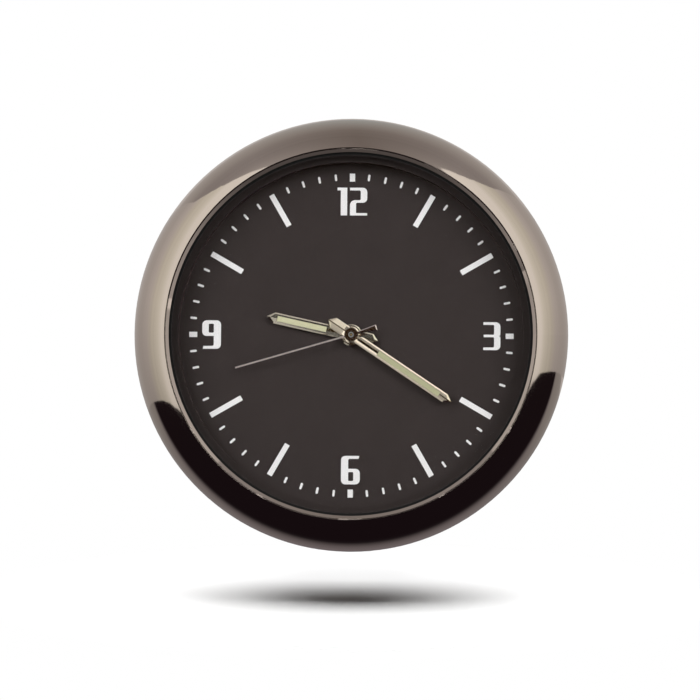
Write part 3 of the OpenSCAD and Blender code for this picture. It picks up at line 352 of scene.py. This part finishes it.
def addPiece(name, mesh, slot, body):
    piece = bpy.data.objects.new(name, mesh)
    scene.collection.objects.link(piece)
    mesh.materials.clear()
    mesh.materials.append(materials[slot])
    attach(piece, body)
    return piece


cornerSteps = 7


def roundLoop(corners):
    # Corners are x, y and radius, and the rounded ones are right angles
    loop = []
    for index, (x, y, radius) in enumerate(corners):
        here = Vector((x, y))
        if not radius:
            loop.append(here)
            continue
        toLast = (Vector(corners[index - 1][:2]) - here).normalized()
        toNext = (Vector(corners[(index + 1) % len(corners)][:2]) - here).normalized()
        middle = here + (toLast + toNext) * radius
        for step in range(cornerSteps + 1):
            turn = math.radians(90 * step / cornerSteps)
            loop.append(middle - (toNext * math.cos(turn) + toLast * math.sin(turn)) * radius)
    return loop


def flatMesh(name, loops, thick, place):
    outline = bpy.data.curves.new(name, "CURVE")
    outline.dimensions = "2D"
    outline.fill_mode = "BOTH"
    outline.extrude = thick / 2
    for loop in loops:
        spline = outline.splines.new("POLY")
        spline.points.add(len(loop) - 1)
        for point, (x, y) in zip(spline.points, loop):
            point.co = (x * mm, y * mm, 0, 1)
        spline.use_cyclic_u = True
    drawn = bpy.data.objects.new(name, outline)
    scene.collection.objects.link(drawn)
    bpy.context.view_layer.update()
    mesh = bpy.data.meshes.new_from_object(drawn.evaluated_get(bpy.context.evaluated_depsgraph_get()))
    bpy.data.objects.remove(drawn)
    mesh.transform(place @ Matrix.Rotation(math.radians(90), 4, "X"))
    return mesh


# Outlines and places on the dial are in millimetres, and the six is the nine turned round
numerals = dict(
    thick=0.035 * mm,
    stand=0.03 * mm,
    one=[(-1.375, 1.287, 0), (-0.473, 1.287, 0), (-0.473, -1.287, 0), (-1.067, -1.287, 0), (-1.067, 1.033, 0),
         (-1.375, 1.033, 0)],
    two=[(-0.217, 1.287, 0), (1.377, 1.287, 0.41), (1.377, -0.107, 0.4), (0.347, -0.107, 0.12),
         (0.347, -1.063, 0), (1.377, -1.063, 0), (1.377, -1.287, 0), (-0.217, -1.287, 0),
         (-0.217, 0.137, 0.48), (0.773, 0.137, 0.12), (0.773, 1.033, 0.12), (-0.217, 1.033, 0)],
    three=[(-0.787, 1.287, 0), (0.787, 1.287, 0.43), (0.787, 0.13, 0), (0.68, 0.015, 0), (0.787, -0.1, 0),
           (0.787, -1.287, 0.4), (-0.787, -1.287, 0), (-0.787, -1.043, 0), (0.203, -1.043, 0.1),
           (0.203, -0.097, 0.1), (-0.757, -0.097, 0), (-0.757, 0.137, 0), (0.203, 0.137, 0.1),
           (0.203, 1.043, 0.1), (-0.787, 1.043, 0)],
    nine=[(-0.867, 1.317, 0.43), (0.867, 1.317, 0.4), (0.867, -1.317, 0.4), (-0.807, -1.317, 0),
          (-0.74, -1.043, 0), (0.203, -1.043, 0.14), (0.203, -0.127, 0), (-0.867, -0.127, 0.4)],
    nineHole=[(-0.263, 1.003, 0.1), (0.203, 1.003, 0.1), (0.203, 0.177, 0.1), (-0.263, 0.177, 0.1)],
    upAt=12.39,
    downAt=-12.45,
    rightAt=12.97,
    leftAt=-12.92,
)
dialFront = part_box("dial")[0].y
printMiddle = dialFront - numerals["stand"] + numerals["thick"] / 2


def addNumeral(name, shapes, x, z, turn=0):
    place = Matrix.Translation((x * mm, printMiddle, z * mm)) @ Matrix.Rotation(math.radians(turn), 4, "Y")
    loops = [roundLoop(numerals[shape]) for shape in shapes]
    addPiece(name, flatMesh(name, loops, numerals["thick"], place), "white_print", "case")


addNumeral("numeral_12", ("one", "two"), 0, numerals["upAt"])
addNumeral("numeral_3", ("three",), numerals["rightAt"], 0)
addNumeral("numeral_6", ("nine", "nineHole"), 0, numerals["downAt"], 180)
addNumeral("numeral_9", ("nine", "nineHole"), numerals["leftAt"], 0)
print("stage: numerals drawn")


def spinProfile(form, profile, axis, steps, closed):
    # Turns a row of points about an axis through the origin
    points = [form.verts.new(point) for point in profile]
    ends = points + points[:1] if closed else points
    edges = [form.edges.new(pair) for pair in zip(ends, ends[1:])]
    bmesh.ops.spin(form, geom=points + edges, cent=(0, 0, 0), axis=axis, dvec=(0, 0, 0),
                   angle=math.radians(360), steps=steps, use_merge=True, use_duplicate=False)
    bmesh.ops.remove_doubles(form, verts=form.verts[:], dist=weldGap)


def smoothMesh(name, form):
    bmesh.ops.recalc_face_normals(form, faces=form.faces[:])
    for face in form.faces:
        face.smooth = True
    mesh = bpy.data.meshes.new(name)
    form.to_mesh(mesh)
    form.free()
    return mesh


foamPad = dict(reach=13.94 * mm, bulge=0.22 * mm, rings=44, sideRows=9, turns=220,
               cell=0.5 * mm, pit=0.06 * mm, skin=0.3, sidePits=2, slack=0.01 * mm)
padLow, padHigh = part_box("adhesive_pad")
padThick = padHigh.y - padLow.y
padSide = foamPad["reach"] - foamPad["bulge"]


def padProfile():
    side = []
    for row in range(foamPad["sideRows"] + 1):
        level = row / foamPad["sideRows"]
        swell = foamPad["bulge"] * (1 - (2 * level - 1) ** 2)
        side.append((padSide + swell, padHigh.y - padThick * level, 0))
    flat = [index / foamPad["rings"] * padSide for index in range(foamPad["rings"])]
    back = [(radius, padHigh.y, 0) for radius in flat]
    front = [(radius, padLow.y, 0) for radius in reversed(flat)]
    return back + side + front


def pitFoam(form):
    # Open cells: the skin is drawn in wherever a cell has been cut through
    for vert in form.verts:
        cell = noise.cell_vector(vert.co / foamPad["cell"]).x
        drop = foamPad["pit"] * max(0, cell - foamPad["skin"])
        radius = Vector((vert.co.x, 0, vert.co.z))
        if radius.length > padSide - foamPad["slack"]:
            vert.co -= radius.normalized() * drop * foamPad["sidePits"]
        elif vert.co.y > padHigh.y - padThick / 2:
            vert.co.y -= drop


def cutPad():
    form = bmesh.new()
    spinProfile(form, padProfile(), (0, 1, 0), foamPad["turns"], False)
    pitFoam(form)
    return smoothMesh("foam_pad", form)


pad = addPiece("foam_pad", cutPad(), "foam", "case")
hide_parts("adhesive_pad")
print("stage: foam pad made")

winding = dict(wire=0.055 * mm, turns=62, sides=7, steps=26, ring=0.8 * mm, length=7.1 * mm, hole=0.42 * mm,
               flange=0.2 * mm, flangeRim=0.895 * mm, flangeSteps=48, direction=25)


def windWire(form):
    start = Matrix.Translation((winding["ring"], 0, -winding["length"] / 2))
    wire = bmesh.ops.create_circle(form, cap_ends=False, segments=winding["sides"], radius=winding["wire"],
                                   matrix=start @ Matrix.Rotation(math.radians(90), 4, "X"))
    loop = wire["verts"] + list({edge for vert in wire["verts"] for edge in vert.link_edges})
    count = winding["turns"] * winding["steps"]
    bmesh.ops.spin(form, geom=loop, cent=(0, 0, 0), axis=(0, 0, 1), dvec=(0, 0, winding["length"] / count),
                   angle=math.radians(360 * winding["turns"]), steps=count, use_merge=False,
                   use_duplicate=False)


def bobbinProfile():
    # A sleeve under the wire, with a flange at each end
    half = winding["length"] / 2 + winding["length"] / winding["turns"] / 2
    end = half + winding["flange"]
    inner, outer = winding["hole"], winding["flangeRim"]
    sleeve = winding["ring"] - winding["wire"] / 2
    rows = [(inner, -end), (outer, -end), (outer, -half), (sleeve, -half), (sleeve, half), (outer, half),
            (outer, end), (inner, end)]
    return [(radius, 0, z) for radius, z in rows]


def windCoil():
    form = bmesh.new()
    windWire(form)
    spinProfile(form, bobbinProfile(), (0, 0, 1), winding["flangeSteps"], True)
    low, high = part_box("coil")
    place = Matrix.Translation((low + high) / 2)
    turn = Matrix.Rotation(math.radians(-winding["direction"]), 4, "Y")
    form.transform(place @ turn @ Matrix.Rotation(math.radians(90), 4, "Y"))
    return smoothMesh("wound_coil", form)


coil = addPiece("wound_coil", windCoil(), "copper_wire", "case")
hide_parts("coil")
print("stage: coil wound")


# Stage: camera, white ground, cards for the metal to reflect and lamps

view = dict(centre=Vector((0, -9 * mm, 0)), distance=0.5385, lens=300, sensor=36, nearest=0.01, farthest=20,
            below=3.2, side=1.4, roll=0.42, aimX=-0.113 * mm, aimZ=-1.358 * mm)
cameraData = bpy.data.cameras.new("camera")
cameraData.lens = view["lens"]
cameraData.sensor_width = view["sensor"]
cameraData.clip_start = view["nearest"]
cameraData.clip_end = view["farthest"]
camera = bpy.data.objects.new("camera", cameraData)
scene.collection.objects.link(camera)
scene.camera = camera
drop, aside = math.radians(-view["below"]), math.radians(view["side"])
toCamera = Vector((math.sin(aside) * math.cos(drop), -math.cos(aside) * math.cos(drop), math.sin(drop)))
facing = (-toCamera).to_track_quat("-Z", "Y").to_matrix().to_4x4()
aim = facing @ Vector((view["aimX"], view["aimZ"], 0))
camera.matrix_world = (Matrix.Translation(view["centre"] + toCamera * view["distance"] + aim) @ facing
                       @ Matrix.Rotation(math.radians(view["roll"]), 4, "Z"))

# White to the eye and in reflections, and dim as a light
sky = dict(seen=1, lit=0.03)
world = bpy.data.worlds.new("world")
scene.world = world
world.use_nodes = True
skyTree = world.node_tree
seenSky = skyTree.nodes["Background"]
litSky = addNode(skyTree, "Background")
for glow, strength in ((seenSky, sky["seen"]), (litSky, sky["lit"])):
    glow.inputs["Color"].default_value = (1, 1, 1, 1)
    glow.inputs["Strength"].default_value = strength
skyRays = anyRay(skyTree, "Camera", "Glossy", "Transmission")
mixSurface(skyTree, skyRays, litSky.outputs["Background"], seenSky.outputs["Background"])


def addStage(name, form, material):
    mesh = bpy.data.meshes.new(name)
    form.to_mesh(mesh)
    form.free()
    mesh.materials.append(material)
    thing = bpy.data.objects.new(name, mesh)
    scene.collection.objects.link(thing)
    return thing


def addCard(name, form, material):
    # A card that shows only in reflections
    card = addStage(name, form, material)
    card.visible_camera = False
    card.visible_diffuse = False
    card.visible_shadow = False
    return card


def flatForm(corners):
    form = bmesh.new()
    form.faces.new([form.verts.new(corner) for corner in corners])
    return form


def discForm(radius, segments, place):
    form = bmesh.new()
    bmesh.ops.create_circle(form, cap_ends=True, segments=segments, radius=radius, matrix=place)
    return form


def levelForm(card):
    half, z = card["half"], card["z"]
    return flatForm([(-half, card["front"], z), (half, card["front"], z), (half, card["back"], z),
                     (-half, card["back"], z)])


def emptyMaterial(name):
    material = bpy.data.materials.new(name)
    material.use_nodes = True
    material.node_tree.nodes.remove(material.node_tree.nodes["Principled BSDF"])
    return material


def addRamp(tree, value, stops):
    # Stops are a place and a colour
    first, last = stops[0][0], stops[-1][0]
    span = addNode(tree, "MapRange")
    span.inputs["From Min"].default_value = first
    span.inputs["From Max"].default_value = last
    ramp = addNode(tree, "ValToRGB")
    points = ramp.color_ramp.elements
    for place, colour in stops[1:-1]:
        points.new((place - first) / (last - first)).color = (*colour, 1)
    points[0].color = (*stops[0][1], 1)
    points[-1].color = (*stops[-1][1], 1)
    tree.links.new(value, span.inputs["Value"])
    tree.links.new(span.outputs["Result"], ramp.inputs["Fac"])
    return ramp.outputs["Color"]


def addGlow(tree, colour):
    glow = addNode(tree, "Emission")
    tree.links.new(colour, glow.inputs["Color"])
    return glow.outputs["Emission"]


def cardMaterial(name, card):
    # Glow from the front to the back, along Y, that changes between two places across the card
    material = emptyMaterial(name)
    tree = material.node_tree
    link = tree.links.new
    place = addNode(tree, "TexCoord")
    apart = addNode(tree, "SeparateXYZ")
    share = addNode(tree, "MapRange")
    share.inputs["From Min"].default_value = card["near"]
    share.inputs["From Max"].default_value = card["far"]
    mix = addNode(tree, "Mix", data_type="RGBA")
    link(place.outputs["Object"], apart.inputs["Vector"])
    across = apart.outputs[card["across"]]
    if card["across"] == "X":
        # Left and right are alike
        size = addNode(tree, "Math", operation="ABSOLUTE")
        link(across, size.inputs[0])
        across = size.outputs["Value"]
    link(across, share.inputs["Value"])
    link(share.outputs["Result"], mix.inputs["Factor"])
    link(addRamp(tree, apart.outputs["Y"], card["nearGlow"]), mix.inputs["A"])
    link(addRamp(tree, apart.outputs["Y"], card["farGlow"]), mix.inputs["B"])
    setSurface(tree, addGlow(tree, mix.outputs["Result"]))
    return material


def tone(level, green=1, blue=1):
    return (level, level * green, level * blue)


sideCard = dict(
    x=0.165, across="Z", near=-0.05, far=0.04, front=-0.9, back=0.3, leftLow=-0.048, rightLow=-0.021,
    leftTop=[(-0.9, 0.37), (-0.2, 0.195), (-0.04, 0.145), (0.3, 0.115)],
    rightTop=[(-0.9, 0.42), (-0.07, 0.19), (0.3, 0.125)],
    nearGlow=[(-0.9, tone(1.6, 1.03)), (-0.3, tone(1.45, 1.03)), (-0.2, tone(1.1, 1.03, 0.95)),
              (-0.1, tone(0.87, 1.02, 0.93)), (-0.04, tone(0.7)), (0.3, tone(0.65))],
    farGlow=[(-0.9, tone(1.9, 1.03)), (-0.3, tone(1.7, 1.03)), (-0.2, tone(1.45, 1.03, 0.95)),
             (-0.1, tone(1.22, 1.02, 0.93)), (-0.04, tone(1.04)), (0.02, tone(0.9)), (0.3, tone(0.85))],
)
sideGlow = cardMaterial("sideGlow", sideCard)
for edge, x in (("left", -sideCard["x"]), ("right", sideCard["x"])):
    foot = [(sideCard["back"], sideCard[edge + "Low"]), (sideCard["front"], sideCard[edge + "Low"])]
    addCard(edge + "Card", flatForm([(x, y, z) for y, z in foot + sideCard[edge + "Top"]]), sideGlow)

topCard = dict(
    z=0.4, across="X", near=0, far=0.22, half=0.6, front=-1.7, back=0.45,
    nearGlow=[(-1.7, tone(0.5, 0.95, 0.93)), (-0.75, tone(0.42, 0.94, 0.92)), (-0.25, tone(0.4, 0.94, 0.91)),
              (-0.08, tone(0.46, 0.95, 0.93)), (0.05, tone(0.62, 1.02, 1.02)), (0.17, tone(0.71, 1.08, 1.1)),
              (0.45, tone(0.72, 1.08, 1.1))],
    farGlow=[(-1.7, tone(0.95)), (-0.9, tone(0.8)), (-0.5, tone(0.64, 0.98)), (-0.27, tone(0.58, 0.98)),
             (-0.1, tone(0.6, 0.98)), (0.05, tone(0.72)), (0.2, tone(0.8)), (0.45, tone(0.85))],
)
addCard("topCard", levelForm(topCard), cardMaterial("topCardGlow", topCard))

lowCard = dict(
    z=-0.06, across="X", near=0, far=0.15, half=0.5, front=-1, back=0.3,
    nearGlow=[(-1, tone(0.02, 0.63, 0.87)), (-0.016, tone(0.02, 0.63, 0.87)), (-0.009, tone(0.035, 0.8)),
              (-0.003, tone(0.16, 0.93, 1.02)), (0.006, tone(0.29, 0.945, 1.05)),
              (0.017, tone(0.35, 0.945, 1.05)), (0.3, tone(0.38, 0.945, 1.05))],
    farGlow=[(-1, tone(0.02, 0.66, 0.85)), (-0.014, tone(0.022, 0.66, 0.85)), (-0.006, tone(0.085, 0.9)),
             (0.003, tone(0.3, 0.945, 1.02)), (0.02, tone(0.5)), (0.06, tone(0.54)), (0.3, tone(0.62))],
)
addCard("lowCard", levelForm(lowCard), cardMaterial("lowCardGlow", lowCard))

# The crystal and flat metal show a dark disc in front, and the hands' slopes the ring round it
frontCard = dict(
    centre=Vector((-0.007, -0.3, 0.0165)), disc=0.045, ring=0.1, segments=72, discGlow=(0.03, 0.016, 0.006),
    glow=[(-180, tone(0.15)), (-168, tone(0.05)), (-160, tone(0.25)), (-152, tone(1.2)), (-147, tone(1.35)),
          (-120, tone(1.1)), (-80, tone(0.6)), (-20, tone(0.2)), (6, tone(0.05)), (18, tone(0.05)),
          (26, tone(0.16)), (34, tone(0.3)), (60, tone(0.5)), (150, tone(0.4)), (180, tone(0.15))],
)


def frontMaterial():
    # The ring's glow goes by the direction from 12, in degrees
    material = emptyMaterial("frontGlow")
    tree = material.node_tree
    link = tree.links.new
    place = addNode(tree, "TexCoord")
    shift = addNode(tree, "VectorMath", operation="SUBTRACT")
    shift.inputs[1].default_value = frontCard["centre"]
    apart = addNode(tree, "SeparateXYZ")
    angle = addNode(tree, "Math", operation="ARCTAN2")
    degrees = addNode(tree, "Math", operation="DEGREES")
    beyond = addNode(tree, "Math", operation="GREATER_THAN")
    beyond.inputs[1].default_value = frontCard["disc"]
    shown = addNode(tree, "Mix", data_type="RGBA")
    shown.inputs["A"].default_value = (*frontCard["discGlow"], 1)
    link(place.outputs["Object"], shift.inputs[0])
    link(shift.outputs["Vector"], apart.inputs["Vector"])
    link(apart.outputs["X"], angle.inputs[0])
    link(apart.outputs["Z"], angle.inputs[1])
    link(angle.outputs["Value"], degrees.inputs[0])
    link(addRadius(tree, shift.outputs["Vector"]), beyond.inputs[0])
    link(beyond.outputs["Value"], shown.inputs["Factor"])
    link(addRamp(tree, degrees.outputs["Value"], frontCard["glow"]), shown.inputs["B"])
    setSurface(tree, addGlow(tree, shown.outputs["Result"]))
    return material


frontPlace = Matrix.Translation(frontCard["centre"]) @ Matrix.Rotation(math.radians(90), 4, "X")
addCard("frontCard", discForm(frontCard["ring"], frontCard["segments"], frontPlace), frontMaterial())


def onlyNodes(*names):
    # A collection that lets a light reach some nodes alone
    group = bpy.data.collections.new(names[0] + "Only")
    for name in names:
        group.objects.link(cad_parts[name])
    return group


# The bezel's inner lip shows a faint glow from across the dial, which nothing else sees
lipCard = dict(z=-2 * mm, half=14 * mm, tip=17.2 * mm, tipZ=-0.3 * mm, front=-18 * mm, back=-13.5 * mm,
               glow=[(-0.016, tone(0)), (-0.011, tone(0.3)), (-0.006, tone(0.6)), (-0.002, tone(0.18)),
                     (0.0015, tone(0.18)), (0.005, tone(0.62)), (0.013, tone(0.85))])


def lipMaterial():
    # The glow changes from left to right, and doesn't hide what is behind it
    material = emptyMaterial("lipGlow")
    tree = material.node_tree
    place = addNode(tree, "TexCoord")
    apart = addNode(tree, "SeparateXYZ")
    clear = addNode(tree, "BsdfTransparent")
    both = addNode(tree, "AddShader")
    tree.links.new(place.outputs["Object"], apart.inputs["Vector"])
    tree.links.new(addGlow(tree, addRamp(tree, apart.outputs["X"], lipCard["glow"])), both.inputs[0])
    tree.links.new(clear.outputs["BSDF"], both.inputs[1])
    setSurface(tree, both.outputs["Shader"])
    return material


def lipEndForm():
    # The right end rises to its tip
    rise = [(lipCard["half"], lipCard["z"]), (lipCard["tip"], lipCard["tipZ"])]
    front = [(x, lipCard["front"], z) for x, z in rise]
    back = [(x, lipCard["back"], z) for x, z in reversed(rise)]
    return flatForm(front + back)


lipGlow = lipMaterial()
bezelOnly = onlyNodes("bezel")
for name, form in (("lipCard", levelForm(lipCard)), ("lipEnd", lipEndForm())):
    addCard(name, form, lipGlow).light_linking.receiver_collection = bezelOnly

ground = dict(middle=Vector((0, -3.94 * mm, -23.47 * mm)), tilt=16, segments=60, paint=(0.9, 0.9, 0.9),
              shadowY=-6.5 * mm, wide=22 * mm, deep=12 * mm, fade=1.6, margin=1.1)


def floorFinish():
    # Takes the clock's shadow, and is clear further out and from below
    material = emptyMaterial("floor")
    tree = material.node_tree
    link = tree.links.new
    place = addNode(tree, "TexCoord")
    shift = addNode(tree, "VectorMath", operation="SUBTRACT")
    shift.inputs[1].default_value = (0, ground["shadowY"], 0)
    scale = addNode(tree, "VectorMath", operation="MULTIPLY")
    scale.inputs[1].default_value = (1 / ground["wide"], 1 / ground["deep"], 0)
    reach = addNode(tree, "VectorMath", operation="LENGTH")
    fade = addNode(tree, "MapRange", interpolation_type="SMOOTHSTEP")
    fade.inputs["From Min"].default_value = 1
    fade.inputs["From Max"].default_value = ground["fade"]
    under = addNode(tree, "NewGeometry")
    clearer = addNode(tree, "Math", operation="MAXIMUM")
    paint = addNode(tree, "BsdfDiffuse")
    paint.inputs["Color"].default_value = (*ground["paint"], 1)
    clear = addNode(tree, "BsdfTransparent")
    link(place.outputs["Object"], shift.inputs[0])
    link(shift.outputs["Vector"], scale.inputs[0])
    link(scale.outputs["Vector"], reach.inputs[0])
    link(reach.outputs["Value"], fade.inputs["Value"])
    link(fade.outputs["Result"], clearer.inputs[0])
    link(under.outputs["Backfacing"], clearer.inputs[1])
    mixSurface(tree, clearer.outputs["Value"], paint.outputs["BSDF"], clear.outputs["BSDF"])
    return material


floorReach = ground["wide"] * ground["fade"] * ground["margin"]
floorPlace = Matrix.Translation(ground["middle"]) @ Matrix.Rotation(math.radians(ground["tilt"]), 4, "X")
floor = addStage("floor", discForm(floorReach, ground["segments"], floorPlace), floorFinish())
floor.visible_glossy = False

floorOnly = bpy.data.collections.new("floorOnly")
floorOnly.objects.link(floor)
notFloor = bpy.data.collections.new("notFloor")
notFloor.objects.link(floor)
notFloor.collection_objects[0].light_linking.link_state = "EXCLUDE"


def addLamp(name, at, target, wide, tall, power, receivers):
    lamp = bpy.data.lights.new(name, "AREA")
    lamp.shape = "RECTANGLE"
    lamp.size = wide
    lamp.size_y = tall
    lamp.energy = power
    thing = bpy.data.objects.new(name, lamp)
    scene.collection.objects.link(thing)
    thing.location = at
    thing.rotation_euler = (Vector(target) - Vector(at)).to_track_quat("-Z", "Y").to_euler()
    thing.visible_camera = False
    thing.visible_glossy = False
    thing.visible_transmission = False
    thing.light_linking.receiver_collection = receivers
    return thing


roomLamps = dict(
    leftLamp=dict(at=(-0.3, -0.42, 0.16), size=0.3, power=1.8),
    rightLamp=dict(at=(0.3, -0.42, 0.16), size=0.3, power=1.8),
    backLamp=dict(at=(0, 0.4, 0.3), size=0.3, power=1.6),
)
for name, lamp in roomLamps.items():
    addLamp(name, lamp["at"], view["centre"], lamp["size"], lamp["size"], lamp["power"], notFloor)

floorLamp = dict(distance=91.2 * mm, tilt=19.7, wide=163.6 * mm, deep=52.6 * mm, power=0.141)
for name, tilt in (("floorFront", -floorLamp["tilt"]), ("floorBack", floorLamp["tilt"])):
    lampWay = Vector((0, math.sin(math.radians(tilt)), math.cos(math.radians(tilt))))
    addLamp(name, ground["middle"] + lampWay * floorLamp["distance"], ground["middle"], floorLamp["wide"],
            floorLamp["deep"], floorLamp["power"], floorOnly)

# Small lamps that the hands mirror to the camera, through the crystal, from their bevels and the minute tail
bevelRise = 0.5
bevelSlope = math.degrees(math.atan(bevelRise))
glintReach = 5 * mm  # how far along its hand a lamp is aimed
glints = [dict(hand="minute", turn=-90, slope=bevelSlope, level=0.75, distance=0.3, size=0.09),
          dict(hand="minute", turn=90, slope=bevelSlope, level=0.6, distance=0.075, size=0.026),
          dict(hand="minute", turn=-100, slope=14, level=2, distance=0.28, size=0.1),
          dict(hand="hour", turn=90, slope=bevelSlope, level=0.3, distance=0.3, size=0.09)]
glintNodes = {hand: onlyNodes(hand + "_hand", "crystal") for hand in ("minute", "hour")}


def addGlint(name, hand, turn, slope, level, distance, size):
    tip = math.radians(slope)
    face = roundWay(handAngles[hand] + turn) * math.sin(tip) + Vector((0, -math.cos(tip), 0))
    target = roundWay(handAngles[hand]) * glintReach + Vector((0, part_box(hand + "_hand")[0].y, 0))
    at = target + (-toCamera).reflect(face) * distance
    power = level * math.pi * size ** 2
    lamp = addLamp(name, at, target, size, size, power, glintNodes[hand])
    lamp.visible_glossy = True
    lamp.visible_transmission = True


for index, glint in enumerate(glints):
    addGlint(glint["hand"] + "Glint%d" % index, **glint)

scene.view_settings.view_transform = "Standard"
print("stage: camera, cards, floor and lamps set")
